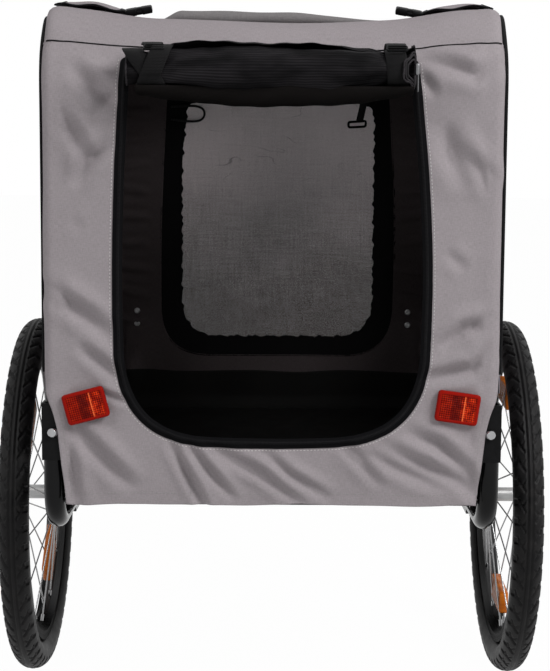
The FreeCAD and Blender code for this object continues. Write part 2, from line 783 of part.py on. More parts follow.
def tyre_section(x):
    """Horseshoe section of the tyre: an outer arc, two beads and an inner arc."""
    def on_arc(radius, angle):
        return at(x + radius * math.sin(angle), 0, wheel_radius + tyre_middle + radius * math.cos(angle))
    inner_radius = tyre_section_radius - tyre_wall
    bead_top = bead_radius + bead_top_rise
    right_bead = wheel_points(((bead_outer_half_width, bead_top), (bead_outer_half_width, bead_radius),
                               (bead_inner_half_width, bead_radius), (bead_inner_half_width, bead_top)), x)
    left_bead = wheel_points(((-bead_inner_half_width, bead_top), (-bead_inner_half_width, bead_radius),
                              (-bead_outer_half_width, bead_radius), (-bead_outer_half_width, bead_top)), x)
    outer = Part.Arc(on_arc(tyre_section_radius, -arc_end), on_arc(tyre_section_radius, 0),
                     on_arc(tyre_section_radius, arc_end)).toShape()
    inner = Part.Arc(on_arc(inner_radius, arc_end), on_arc(inner_radius, 0),
                     on_arc(inner_radius, -arc_end)).toShape()
    right_line = [on_arc(tyre_section_radius, arc_end)] + right_bead + [on_arc(inner_radius, arc_end)]
    left_line = [on_arc(inner_radius, -arc_end)] + left_bead + [on_arc(tyre_section_radius, -arc_end)]
    edges = [outer]
    edges += [Part.makeLine(a, b) for a, b in zip(right_line, right_line[1:])]
    edges.append(inner)
    edges += [Part.makeLine(a, b) for a, b in zip(left_line, left_line[1:])]
    return Part.Face(Part.Wire(edges))


# Wheels: tyre, rim, spokes with nipples, hub, bearings and spoke reflectors
rim_flange_radius = bead_radius + rim_flange_rise
rim_flange_inner = bead_outer_half_width + rim_flange_gap
rim_half_section = [(rim_half_width, rim_flange_radius), (rim_half_width, rim_shoulder_radius),
                    (rim_well_half_width, rim_inner_radius)]
rim_half_channel = [(rim_well_half_width, rim_well_radius), (rim_seat_half_width, bead_radius),
                    (rim_flange_inner, bead_radius), (rim_flange_inner, rim_flange_radius)]
for side in sides:
    name = side_names[side]
    x = side * wheel_place
    save(name + "_tyre", [tyre_section(x).revolve(axle_base, across, 360)])

    below = rim_half_section + [(-p, r) for p, r in reversed(rim_half_section)]
    above = [(-p, r) for p, r in reversed(rim_half_channel)] + rim_half_channel
    save(name + "_rim", [turned(wheel_points(below + above, x), axle_base, across)])

    spokes = []
    for flange in (-1, 1):
        for i in range(spoke_count_per_side):
            start_angle = 2 * math.pi * (i + (flange + 1) / 4) / spoke_count_per_side
            end_angle = start_angle + flange * math.radians(spoke_lean_degrees)
            start = at(x + flange * hub_flange_place, hub_hole_radius * math.sin(start_angle),
                       wheel_radius + hub_hole_radius * math.cos(start_angle))
            end = at(x + flange * spoke_rim_offset, nipple_end_radius * math.sin(end_angle),
                     wheel_radius + nipple_end_radius * math.cos(end_angle))
            run = end.sub(start).normalize()
            nipple = rod(end.sub(run * nipple_length), end, nipple_radius)
            spokes.append(rod(start, end, spoke_radius).fuse(nipple).removeSplitter())
    save(name + "_spokes", spokes)

    flange_outer = hub_flange_place + hub_flange_thickness / 2
    flange_inner = hub_flange_place - hub_flange_thickness / 2
    pocket = hub_half_length - bearing_width
    hub_half = [(hub_half_length, bearing_radius), (hub_half_length, hub_end_radius),
                (flange_outer, hub_end_radius),
                (flange_outer, hub_flange_radius), (flange_inner, hub_flange_radius),
                (flange_inner, hub_barrel_radius)]
    hub_inside = [(pocket, hub_bore_radius), (pocket, bearing_radius)]
    hub_line = hub_half + [(-p, r) for p, r in reversed(hub_half)]
    hub_line += [(-p, r) for p, r in reversed(hub_inside)] + hub_inside
    save(name + "_hub", [turned(wheel_points(hub_line, x), axle_base, across)])

    bearings = []
    for end in (-1, 1):
        near = at(x + end * pocket, 0, wheel_radius)
        far = at(x + end * hub_half_length, 0, wheel_radius)
        bearings.append(rod(near, far, bearing_radius).cut(rod(near, far, axle_radius + running_clearance)))
    save(name + "_bearings", bearings)

    reflectors = []
    turn = {left_side: spoke_reflector_left_turn_degrees,
            right_side: spoke_reflector_right_turn_degrees}[side]
    for end in (-1, 1):
        middle = wheel_radius - end * spoke_reflector_radius
        reflector = block(x - spoke_reflector_thick / 2, x + spoke_reflector_thick / 2,
                          -spoke_reflector_long / 2, spoke_reflector_long / 2,
                          middle - spoke_reflector_high / 2, middle + spoke_reflector_high / 2)
        reflector.rotate(axle_base, across, turn)
        reflectors.append(reflector)
    for spoke in spokes:
        reflectors = [r.cut(spoke) for r in reflectors]
    save(name + "_spoke_reflectors", reflectors)

    # Stub axle with its head and collar, and the release button in its head
    head_start = side * (hub_outer_end + axle_side_gap)
    head_end = head_start + side * axle_head_thick
    axle = rod(at(side * axle_inner_end, 0, wheel_radius), at(head_end, 0, wheel_radius), axle_radius)
    axle = axle.fuse(rod(at(head_start, 0, wheel_radius), at(head_end, 0, wheel_radius), axle_head_radius))
    collar = rod(at(side * (plate_outer + axle_side_gap), 0, wheel_radius),
                 at(side * (hub_inner_end - axle_side_gap), 0, wheel_radius), axle_collar_radius)
    bore = rod(at(head_end - side * button_bore_depth, 0, wheel_radius),
               at(head_end + side * overrun, 0, wheel_radius), button_radius + running_clearance)
    save(name + "_stub_axle", [axle.fuse(collar).cut(bore).removeSplitter()])
    button_end = head_end + side * button_proud
    save(name + "_release_button", [rod(at(button_end - side * button_length, 0, wheel_radius),
                                        at(button_end, 0, wheel_radius), button_radius)])

# Drawbar bracket: a long lower plate under the front cross tube, a web and a short upper plate
lower_top = cross_tube_height - bow_radius
eye_foot = lower_top + drawbar_side_gap
eye_top = eye_foot + 2 * drawbar_radius
upper_foot = eye_top + drawbar_side_gap
upper_top = upper_foot + upper_plate_thick
drawbar_height = eye_foot + drawbar_radius
left_edge = pivot_x - bracket_half_width
right_edge = pivot_x + bracket_half_width
lower = block(left_edge, right_edge, plate_back, plate_front, lower_top - lower_plate_thick, lower_top)
web = block(left_edge, right_edge, web_back, web_back + web_thick, lower_top, upper_foot)
upper = block(left_edge, right_edge, web_back, plate_front, upper_foot, upper_top)
pivot_foot = at(pivot_x, pivot_forward, lower_top - lower_plate_thick)
pivot_top = at(pivot_x, pivot_forward, upper_top)
pivot_hole = rod(pivot_foot.sub(upward * overrun), pivot_top.add(upward * overrun),
                 pivot_bolt_radius + running_clearance)
save("drawbar_bracket", [lower.fuse(web).fuse(upper).cut(pivot_hole).removeSplitter()])

# Pivot bolt and the clamp knob on its top
knob_foot = upper_top + knob_gap
bolt_end = at(pivot_x, pivot_forward, knob_foot + knob_height / 2)
head_foot = pivot_foot.sub(upward * pivot_head_height)
save("drawbar_pivot_bolt", [rod(pivot_foot, bolt_end, pivot_bolt_radius).fuse(
    rod(head_foot, pivot_foot, pivot_head_radius)).removeSplitter()])
knob_start = at(pivot_x, pivot_forward, knob_foot)
knob = rod(knob_start, knob_start.add(upward * knob_height), knob_radius)
for i in range(knob_lobes):
    angle = 2 * math.pi * i / knob_lobes
    lobe = knob_start.add(at(math.cos(angle), math.sin(angle), 0) * knob_radius)
    knob = knob.fuse(rod(lobe, lobe.add(upward * knob_height), knob_lobe_radius))
knob_bore = rod(knob_start.sub(upward * overrun), bolt_end.add(upward * knob_gap),
                pivot_bolt_radius + running_clearance)
save("drawbar_knob", [knob.cut(knob_bore).removeSplitter()])

# Drawbar: a bent tube from the pivot to the bicycle's left side
drawbar_corners = [at(pivot_x, pivot_forward, drawbar_height),
                   at(pivot_x, drawbar_straight_end, drawbar_height),
                   at(hitch_x, drawbar_turn_end, hitch_height),
                   at(hitch_x, drawbar_end, hitch_height)]
drawbar = tube(bent_path(drawbar_corners, drawbar_bend), drawbar_radius, drawbar_wall)
eye = rod(at(pivot_x, pivot_forward, eye_foot), at(pivot_x, pivot_forward, eye_top), drawbar_eye_radius)
save("drawbar", [drawbar.fuse(eye).cut(pivot_hole).removeSplitter()])

# Flexible coupling: a grooved rubber block on the end of the drawbar
coupling_start = at(hitch_x, drawbar_end, hitch_height)
coupling_stop = at(hitch_x, coupling_end, hitch_height)
coupling = rod(coupling_start, coupling_stop, coupling_radius)
pitch = coupling_length / coupling_ribs
for i in range(1, coupling_ribs):
    groove_start = at(hitch_x, drawbar_end + i * pitch - coupling_groove / 2, hitch_height)
    groove_stop = groove_start.add(forward * coupling_groove)
    groove = rod(groove_start, groove_stop, coupling_radius + overrun)
    coupling = coupling.cut(groove.cut(rod(groove_start, groove_stop, coupling_radius - coupling_groove)))
save("hitch_coupling", [coupling])

# Clevis on the coupling, with the hitch plate's tongue between its plates
inner_half = tongue_half_thick + tongue_gap
outer_half = inner_half + clevis_plate
clevis = block(hitch_x - clevis_half_width, hitch_x + clevis_half_width, coupling_end,
               coupling_end + clevis_length, hitch_height - outer_half, hitch_height + outer_half)
clevis_space = block(hitch_x - clevis_half_width - overrun, hitch_x + clevis_half_width + overrun,
                     coupling_end + clevis_web, coupling_end + clevis_length + overrun,
                     hitch_height - inner_half, hitch_height + inner_half)
pin_line_foot = at(hitch_x, pin_forward, hitch_height - outer_half)
pin_line_top = at(hitch_x, pin_forward, hitch_height + outer_half)
pin_hole = rod(pin_line_foot.sub(upward * overrun), pin_line_top.add(upward * overrun),
               pin_radius + running_clearance)
save("hitch_clevis", [clevis.cut(clevis_space).cut(pin_hole)])

# Hitch plate: a tongue on the pin and an upright tab with the hole for the bicycle's axle
tab_start = pin_forward + axle_tab_start
tab_end = tab_start + axle_tab_length
tab_left = hitch_x + axle_tab_across
tongue = block(hitch_x - tongue_half_width, tab_left + axle_tab_thick, pin_forward - tongue_half_width,
               tab_end,
               hitch_height - tongue_half_thick, hitch_height + tongue_half_thick)
tongue_clear = block(hitch_x + tongue_half_width, tab_left + axle_tab_thick + overrun,
                     pin_forward - tongue_half_width - overrun, tab_start,
                     hitch_height - overrun, hitch_height + overrun)
tab = block(tab_left, tab_left + axle_tab_thick, tab_start, tab_end,
            hitch_height - axle_tab_half_height, hitch_height + axle_tab_half_height)
axle_hole = rod(at(tab_left - overrun, pin_forward + axle_hole_reach, hitch_height),
                at(tab_left + axle_tab_thick + overrun, pin_forward + axle_hole_reach, hitch_height),
                axle_hole_radius)
tongue_trim = block(hitch_x - tongue_half_width - overrun, tab_left, pin_forward + 2 * tongue_half_width,
                    tab_end + overrun, hitch_height - overrun, hitch_height + overrun)
tongue = tongue.cut(tongue_clear).cut(tongue_trim)
bridge = block(hitch_x - tongue_half_width, tab_left, tab_start,
               pin_forward + 2 * tongue_half_width + overrun,
               hitch_height - tongue_half_thick, hitch_height + tongue_half_thick)
hitch_plate = tongue.fuse(bridge).fuse(tab).cut(axle_hole).cut(pin_hole)
save("hitch_plate", [hitch_plate.removeSplitter()])

# Hitch pin that lifts out of the clevis
pin = rod(pin_line_foot.sub(upward * pin_tail), pin_line_top, pin_radius)
pin_head = rod(pin_line_top, pin_line_top.add(upward * pin_head_height), pin_head_radius)
save("hitch_pin", [pin.fuse(pin_head).removeSplitter()])
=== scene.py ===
import math

import bmesh
import bpy
import numpy as np
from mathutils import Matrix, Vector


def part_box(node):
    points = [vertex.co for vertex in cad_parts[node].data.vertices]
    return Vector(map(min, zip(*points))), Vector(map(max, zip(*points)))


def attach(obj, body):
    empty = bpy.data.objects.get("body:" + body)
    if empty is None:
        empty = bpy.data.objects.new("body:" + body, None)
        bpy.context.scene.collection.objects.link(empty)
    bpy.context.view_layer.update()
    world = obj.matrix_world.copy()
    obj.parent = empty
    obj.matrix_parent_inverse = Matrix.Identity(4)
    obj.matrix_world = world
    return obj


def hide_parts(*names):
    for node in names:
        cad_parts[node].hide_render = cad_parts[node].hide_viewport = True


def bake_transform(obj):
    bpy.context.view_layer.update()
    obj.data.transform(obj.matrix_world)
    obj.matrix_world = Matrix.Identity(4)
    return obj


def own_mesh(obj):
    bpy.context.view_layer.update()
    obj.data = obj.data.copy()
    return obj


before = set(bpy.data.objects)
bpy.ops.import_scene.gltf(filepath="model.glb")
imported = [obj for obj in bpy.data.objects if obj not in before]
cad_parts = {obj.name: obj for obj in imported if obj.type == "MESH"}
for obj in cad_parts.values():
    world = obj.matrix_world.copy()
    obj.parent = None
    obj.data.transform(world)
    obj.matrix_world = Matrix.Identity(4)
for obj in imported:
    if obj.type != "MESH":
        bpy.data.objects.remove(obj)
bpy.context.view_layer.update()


# Studio: a wide pale floor in a white room, with a large soft lamp above the viewer's right
# shoulder and a weaker one to the left. The eye stands behind the trailer, a little lower
# than its roof, and looks slightly down on it.

class Shade:
    """One socket of a node tree. Arithmetic on it adds a Math node and gives that node's socket."""

    def __init__(self, nodes, socket):
        self.nodes = nodes
        self.socket = socket

    def math(self, operation, *others):
        """A Math node of this value and the others."""
        values = dict(enumerate((self,) + others))
        return self.nodes.add("ShaderNodeMath", {"operation": operation}, values)

    def __add__(self, other):
        return self.math("ADD", other)

    __radd__ = __add__

    def __sub__(self, other):
        return self.math("SUBTRACT", other)

    def __rsub__(self, other):
        return self.math("MULTIPLY_ADD", -1.0, other)

    def __mul__(self, other):
        return self.math("MULTIPLY", other)

    __rmul__ = __mul__

    def __truediv__(self, other):
        return self.math("DIVIDE", other)

    def __pow__(self, other):
        return self.math("POWER", other)

    def sine(self):
        return self.math("SINE")

    def ribs(self, pitch):
        """A sine wave along the value, from 0 to 1, whose crests lie a pitch apart."""
        return (self * (math.tau / pitch)).sine() * 0.5 + 0.5

    def size(self):
        return self.math("ABSOLUTE")

    def part(self):
        return self.math("FRACT")

    def least(self, other):
        return self.math("MINIMUM", other)

    def most(self, other):
        return self.math("MAXIMUM", other)

    def step(self, low, high):
        """Rise smoothly from 0 where the value is low to 1 where it is high."""
        values = {"Value": self, "From Min": low, "From Max": high}
        return self.nodes.add("ShaderNodeMapRange", {"interpolation_type": "SMOOTHSTEP"}, values)


class Nodes:
    """A node tree that is filled by one method: type first, then settings, then the sockets' values."""

    def __init__(self, tree):
        self.tree = tree

    def add(self, kind, settings=None, inputs=None, output=0):
        node = self.tree.nodes.new(kind)
        for name, value in (settings or {}).items():
            setattr(node, name, value)
        for name, value in (inputs or {}).items():
            if isinstance(value, Shade):
                self.tree.links.new(value.socket, node.inputs[name])
            else:
                node.inputs[name].default_value = value
        return Shade(self, node.outputs[output]) if len(node.outputs) else None

    def blend(self, share, first, second):
        """Mix two colours, the first where share is 0 and the second where it is 1."""
        settings = {"data_type": "RGBA", "clamp_factor": True}
        return self.add("ShaderNodeMix", settings, {0: share, 6: first, 7: second}, 2)


low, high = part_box("axle_cross_tube")
axle_y = (low[1] + high[1]) / 2

eye = bpy.data.objects.new("eye", bpy.data.cameras.new("eye"))
eye_distance = 2.238
eye_height = 0.750
eye_tilt, eye_roll, eye_turn = np.radians([83.08, -0.36, -0.06])
eye.data.lens = 84.93
eye.data.sensor_width = 36.0
eye.data.clip_end = 60.0
eye.location = (0.0, axle_y - eye_distance, eye_height)
eye.rotation_euler = (eye_tilt, eye_roll, eye_turn)
bpy.context.collection.objects.link(eye)
bpy.context.scene.camera = eye
bpy.context.scene.view_settings.view_transform = "Standard"

lamps = [
    ("right_lamp", (1.9, axle_y - 1.7, 2.4), 82.0, 1.2),
    ("left_lamp", (-2.0, axle_y - 1.7, 2.3), 30.0, 1.0),
]
for name, place, power, width in lamps:
    lamp = bpy.data.objects.new(name, bpy.data.lights.new(name, "AREA"))
    lamp.data.energy = power
    lamp.data.size = width
    lamp.location = place
    aim = np.array([0.0, axle_y, 0.5]) - np.array(place)
    lamp.rotation_euler = (math.acos(-aim[2] / np.linalg.norm(aim)), 0, math.atan2(-aim[0], aim[1]))
    bpy.context.collection.objects.link(lamp)


def seen_share(nodes):
    """1 for a ray from the eye, off a mirror or through glass, and 0 for a ray that only carries light."""
    seen = nodes.add("ShaderNodeLightPath", output="Is Camera Ray")
    kinds = seen.socket.node.outputs
    for kind in ("Is Glossy Ray", "Is Transmission Ray"):
        seen = seen + Shade(nodes, kinds[kind])
    return seen.least(1.0)


white = (1, 1, 1, 1)
room = bpy.data.worlds.new("room")
room.use_nodes = True
room.node_tree.nodes.clear()
bpy.context.scene.world = room
room_nodes = Nodes(room.node_tree)
room_seen = seen_share(room_nodes)
soft_light = room_nodes.add("ShaderNodeBackground", None, {"Color": white, "Strength": 0.28})
white_wall = room_nodes.add("ShaderNodeBackground", None, {"Color": white, "Strength": 1.0})
room_light = room_nodes.add("ShaderNodeMixShader", None, {0: room_seen, 1: soft_light, 2: white_wall})
room_nodes.add("ShaderNodeOutputWorld", None, {"Surface": room_light})

floor_half_width = 20.0
floor_mesh = bpy.data.meshes.new("floor")
floor_corners = np.array([[-1, -1, 0], [1, -1, 0], [1, 1, 0], [-1, 1, 0]]) * floor_half_width
floor_mesh.from_pydata(floor_corners.tolist(), [], [(0, 1, 2, 3)])
floor = bpy.data.objects.new("floor", floor_mesh)
bpy.context.collection.objects.link(floor)
floor_finish = bpy.data.materials.new("pale_floor")
floor_finish.use_nodes = True
floor_finish.node_tree.nodes.clear()
floor_nodes = Nodes(floor_finish.node_tree)
floor_share = seen_share(floor_nodes) * 0.985
floor_paint = floor_nodes.add("ShaderNodeBsdfDiffuse", None, {"Color": (0.88, 0.88, 0.88, 1)})
floor_glow = floor_nodes.add("ShaderNodeEmission", None, {"Color": white, "Strength": 1.0})
floor_light = floor_nodes.add("ShaderNodeMixShader", None, {0: floor_share, 1: floor_paint, 2: floor_glow})
floor_nodes.add("ShaderNodeOutputMaterial", None, {"Surface": floor_light})
floor_mesh.materials.append(floor_finish)


# Lower frame: two bent side bows, cross tubes and the axle tube, of steel tube painted gloss black,
# with the pressed plates and the drawbar bracket bolted to them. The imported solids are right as
# they are and only get their paint.

class Finish(Nodes):
    """A material with one Principled shader. Constants go on its sockets, varying values are fed to them."""

    def __init__(self, name, colour, roughness, metallic=0.0, **constants):
        self.material = bpy.data.materials.new(name)
        self.material.use_nodes = True
        super().__init__(self.material.node_tree)
        self.shader = self.tree.nodes["Principled BSDF"]
        self.shader.inputs["Base Color"].default_value = (*colour, 1)
        self.shader.inputs["Roughness"].default_value = roughness
        self.shader.inputs["Metallic"].default_value = metallic
        for socket, value in constants.items():
            self.shader.inputs[socket.replace("_", " ")].default_value = value

    def place(self, source="Object"):
        """The point of the surface, in metres: Object for the part's frame, UV for the piece's own map."""
        return self.add("ShaderNodeTexCoord", output=source)

    def split(self, place):
        """The three numbers of a point, as separate values."""
        first = self.add("ShaderNodeSeparateXYZ", None, {0: place})
        return [Shade(self, socket) for socket in first.socket.node.outputs]

    def noise(self, place, scale, detail=2.0, stretch=(1, 1, 1)):
        """Smooth noise from 0 to 1, with so many lumps to the metre, drawn out along the axes by stretch."""
        drawn = self.add("ShaderNodeMapping", None, {"Vector": place, "Scale": stretch})
        return self.add("ShaderNodeTexNoise", None, {"Vector": drawn, "Scale": scale, "Detail": detail})

    def feed(self, socket, shade):
        """Let a value that varies over the surface drive one of the shader's sockets."""
        self.tree.links.new(shade.socket, self.shader.inputs[socket])

    def tint(self, share, first, second):
        """Colour the surface: the first colour where share is 0, and the second where it is 1."""
        self.feed("Base Color", self.blend(share, (*first, 1), (*second, 1)))

    def bump(self, height, depth):
        """Raise the surface by height, a value from 0 to 1, times depth in metres."""
        self.feed("Normal", self.add("ShaderNodeBump", None, {"Distance": depth, "Height": height}))


def dress(finish, *names):
    """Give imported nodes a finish, in every material slot that they have."""
    for name in names:
        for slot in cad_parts[name].material_slots:
            slot.material = finish.material


def clouded(name, colour, roughness, metallic, cloud, tones, sharp=None, rough=None, grain=None, **constants):
    """A finish that follows slow noise. Cloud is the noise's scale and detail, and tones the two colours
    that it mixes, by a smooth step between the two values of sharp if that is given. Rough is the least
    roughness and what the noise adds to it. Grain is the scale, detail and depth of finer noise on the
    surface."""
    finish = Finish(name, colour, roughness, metallic, **constants)
    place = finish.place()
    share = finish.noise(place, *cloud)
    finish.tint(share.step(*sharp) if sharp else share, *tones)
    if rough:
        finish.feed("Roughness", rough[0] + share * rough[1])
    if grain:
        finish.bump(finish.noise(place, *grain[:2]), grain[2])
    return finish


black_paint = clouded("black_paint", (0.012, 0.012, 0.013), 0.16, 0.0, (34.0, 4.0),
                      ((0.003, 0.003, 0.0033), (0.008, 0.0077, 0.0074)), sharp=(0.52, 0.78),
                      rough=(0.1, 0.16), grain=(420.0, 2.0, 0.00012), Specular_IOR_Level=0.12,
                      Coat_Weight=0.02, Coat_Roughness=0.12)
dress(black_paint, "left_lower_bow", "right_lower_bow", "base_cross_tubes", "axle_cross_tube", "axle_plates",
      "axle_receivers", "drawbar_bracket")


# Axle fittings: zinc-plated stub axles and steel bearings, with chromed release buttons on the hub caps
# and chromed bolts in the hinges.

zinc = clouded("zinc_plate", (0.6, 0.6, 0.61), 0.32, 1.0, (90.0, 3.0),
               ((0.34, 0.34, 0.35), (0.5, 0.5, 0.49)), rough=(0.24, 0.2), grain=(900.0, 2.0, 0.00005))
chrome = clouded("chrome", (0.78, 0.78, 0.79), 0.1, 1.0, (130.0, 3.0),
                 ((0.42, 0.42, 0.43), (0.3, 0.3, 0.31)), rough=(0.06, 0.12))
dress(zinc, "left_stub_axle", "right_stub_axle", "left_bearings", "right_bearings", "drawbar_pivot_bolt",
      "hitch_pin")
dress(chrome, "left_release_button", "right_release_button", "hinge_bolts")


# Wheels: drawn steel spokes in a rolled aluminium rim, on a turned hub. The rim keeps its turning lines,
# and a dark ring on each flank is painted shade. The hub is zinc plated.

wheel_radius = 0.25
rim_aluminium = Finish("rim_aluminium", (0.72, 0.72, 0.73), 0.28, 1.0, Specular_Tint=(0.2, 0.2, 0.2, 1))
rim_along, rim_y, rim_z = rim_aluminium.split(rim_aluminium.place())
rim_y = rim_y - axle_y
rim_z = rim_z - wheel_radius
rim_reach = (rim_y * rim_y + rim_z * rim_z) ** 0.5
turning = rim_aluminium.add("ShaderNodeTexNoise", {"noise_dimensions": "1D"},
                            {"W": rim_reach + rim_along * 1.7, "Scale": 2600.0, "Detail": 2.0})
rim_aluminium.feed("Roughness", 0.2 + turning * 0.2)
rim_colour = rim_aluminium.blend(turning, (0.03, 0.03, 0.031, 1), (0.085, 0.085, 0.085, 1))
ring_inside = 0.1985
ring_outside = 0.2068
ring_edge = 0.0007
# Painted shade: a near-black ring on the rim's flank, between its inner face and its outer edge.
painted_shade_ring = rim_reach.step(ring_inside, ring_inside + ring_edge)
painted_shade_ring = painted_shade_ring * (1 - rim_reach.step(ring_outside, ring_outside + ring_edge))
rim_aluminium.feed("Base Color", rim_aluminium.blend(painted_shade_ring, rim_colour, (0.016, 0.016, 0.016, 1)))
rim_aluminium.bump(turning, 0.00004)
dress(rim_aluminium, "left_rim", "right_rim")
dress(zinc, "left_hub", "right_hub")

spoke_steel = clouded("spoke_steel", (0.66, 0.66, 0.67), 0.22, 1.0, (240.0, 2.0),
                      ((0.2, 0.2, 0.205), (0.34, 0.34, 0.34)), rough=(0.16, 0.16))
dress(spoke_steel, "left_spokes", "right_spokes")


# Tyres: black rubber, moulded with a rib between two grooves round the middle, curved cuts across both halves
# of the tread, and blocks along the shoulders. Each is stretched over its rim.

in_frame = np.array([0, axle_y, 0])
no_map = np.zeros(2)
sides = (("left", -1), ("right", 1))


def joined(*numbers):
    """Points from their separate numbers, which are spread to one shape."""
    return np.stack(np.broadcast_arrays(*numbers), -1)


def make_piece(name, surfaces, finishes, body="chassis", closed=False):
    """Make one mesh from grids of points. Neighbouring points of a grid, two by two, make a four-cornered
    face; points that meet are merged, so that seams and poles close. A grid may be a stack of many grids.
    Each surface is its points from the axle and its flat map in metres. The first finish is the piece's
    own, and a second is for its inside. A closed piece has its normals turned outwards. A piece that bends
    across a joint has no body of its own."""
    points, corners, maps = [], [], []
    start = 0
    for grid, flat in surfaces:
        count = grid[..., 0].size
        index = start + np.arange(count).reshape(grid.shape[:-1])
        near, far = index[..., :-1, :], index[..., 1:, :]
        quads = joined(near[..., :-1], near[..., 1:], far[..., 1:], far[..., :-1])
        points.append(grid.reshape(-1, 3))
        corners.append(quads.reshape(-1, 4))
        maps.append(np.broadcast_to(flat, grid.shape[:-1] + (2,)).reshape(-1, 2))
        start += count
    points = np.concatenate(points) + in_frame
    corners = np.concatenate(corners)
    maps = np.concatenate(maps)
    mesh = bpy.data.meshes.new(name)
    mesh.vertices.add(len(points))
    mesh.vertices.foreach_set("co", points.ravel())
    mesh.loops.add(corners.size)
    mesh.loops.foreach_set("vertex_index", corners.ravel())
    mesh.polygons.add(len(corners))
    mesh.polygons.foreach_set("loop_start", np.arange(len(corners)) * 4)
    mesh.update(calc_edges=True)
    mesh.polygons.foreach_set("use_smooth", np.ones(len(corners), bool))
    mesh.uv_layers.new(name="flat").data.foreach_set("uv", maps[corners.ravel()].ravel())
    merge = 0.00001
    work = bmesh.new()
    work.from_mesh(mesh)
    bmesh.ops.remove_doubles(work, verts=work.verts, dist=merge)
    bmesh.ops.dissolve_degenerate(work, edges=work.edges, dist=merge / 10)
    if closed:
        bmesh.ops.recalc_face_normals(work, faces=work.faces)
    work.to_mesh(mesh)
    work.free()
    for finish in finishes:
        mesh.materials.append(finish.material)
    piece = bpy.data.objects.new(name, mesh)
    bpy.context.collection.objects.link(piece)
    if body:
        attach(piece, body)
    return piece


def rise(value, low, high):
    """Go from 0 at low to 1 at high along the smooth curve 3s² - 2s³."""
    share = np.clip((value - low) / (high - low), 0, 1)
    return share * share * (3 - 2 * share)


def saw(value):
    """The distance to the nearest whole number, from 0 to a half."""
    return np.abs(value - np.round(value))


def tyre_surface(turn, girth):
    """A ring of round section about the axle. Turn goes round the wheel and girth round the section, 0 at the
    tread. The section's radius falls by the depth of the tread's cuts: a groove at each side of the middle,
    cuts whose place runs on with the square of the distance from the middle, hooked slits between them, and
    notches between the shoulder blocks. A raised bead line runs round each flank."""
    section_radius = 0.0208
    ring_radius = 0.229
    aside = np.abs(girth)
    pitch_count = 60
    lead = turn * pitch_count / math.tau + np.where(girth > 0, 0.5, 0.0)
    cut_depth = 0.0021
    ledge_depth = 0.0011
    bead_height = 0.0006
    cut_line = saw(lead - 0.9 * aside * aside - 0.35 * aside)
    groove = rise(aside, 0.07, 0.10) * (1 - rise(aside, 0.19, 0.23))
    cuts = (1 - rise(cut_line, 0.06, 0.12)) * rise(aside, 0.26, 0.34) * (1 - rise(aside, 0.82, 0.9))
    hook_line = saw(lead + 0.45 - 2.6 * (aside - 0.62) ** 2)
    hooks = 0.7 * (1 - rise(hook_line, 0.04, 0.09)) * rise(aside, 0.30, 0.36) * (1 - rise(aside, 0.76, 0.84))
    shoulder_gap = 1 - rise(saw(lead + 0.3), 0.12, 0.2)
    notches = shoulder_gap * rise(aside, 0.84, 0.9) * (1 - rise(aside, 1.2, 1.34))
    ledge = rise(aside, 1.22, 1.36)
    bead = np.exp(-((aside - 1.75) / 0.05) ** 2)
    depth = cut_depth * np.maximum(np.maximum(groove, hooks), np.maximum(cuts, notches))
    reach = section_radius - depth - ledge_depth * ledge + bead_height * bead
    radius = ring_radius + reach * np.cos(girth)
    return joined(reach * np.sin(girth), radius * np.sin(turn), wheel_radius + radius * np.cos(turn))


rubber = clouded("tyre_rubber", (0.016, 0.016, 0.017), 0.6, 0.0, (60.0, 4.0),
                 ((0.0032, 0.0030, 0.0033), (0.0105, 0.0098, 0.0098)), sharp=(0.4, 0.75), rough=(0.4, 0.3),
                 grain=(900.0, 3.0, 0.00015), Specular_IOR_Level=0.15)

wheel_plane = 0.334
turn, girth = np.meshgrid(np.linspace(0, math.tau, 1681), np.linspace(-math.pi, math.pi, 57), indexing="ij")
girth = girth - 0.42 * np.sin(girth)
tyre_grid = tyre_surface(turn, girth)
tyre_map = joined(turn * wheel_radius, girth * 0.021)
for side, hand in sides:
    side_grid = tyre_grid + np.array([hand * wheel_plane, 0, 0])
    tyre = make_piece(side + "_road_tyre", [(side_grid, tyre_map)], [rubber], side + "_wheel", closed=True)
    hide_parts(side + "_tyre")


# Spoke reflectors: moulded amber plates clipped between the spokes, two to a wheel, with a field of small
# prisms inside.

def crossed_waves(across, up, pitch):
    """Rows of prisms from 0 to 1: the product of two sine waves that run along both slants."""
    first = ((across + up) * (math.tau / pitch)).sine()
    second = ((across - up) * (math.tau / pitch)).sine()
    return (first * second) * 0.5 + 0.5


def lens_finish(name, clear, deep, pitch):
    """A clear coloured plastic whose inside shows rows of prisms: two crossed waves, set a pitch apart, which
    raise the surface and tint it, clear on the crests and deep in the hollows, as painted light and shade.
    """
    lens = Finish(name, clear, 0.22, Specular_IOR_Level=0.12)
    prisms = crossed_waves(*lens.split(lens.place())[1:], pitch)
    # Painted light and shade: the prisms' crests are tinted clear and their hollows deep.
    lens.tint(prisms, deep, clear)
    lens.bump(prisms, 0.0004)
    return lens


amber_lens = lens_finish("amber_lens", (0.66, 0.18, 0.012), (0.34, 0.07, 0.006), 0.0042)


def unit(rows):
    """Each row's direction, one long."""
    return rows / np.linalg.norm(rows, axis=1, keepdims=True)


def steps_of(line):
    """The distance from each point of a line to the next."""
    return np.linalg.norm(np.diff(line, axis=0), axis=1)


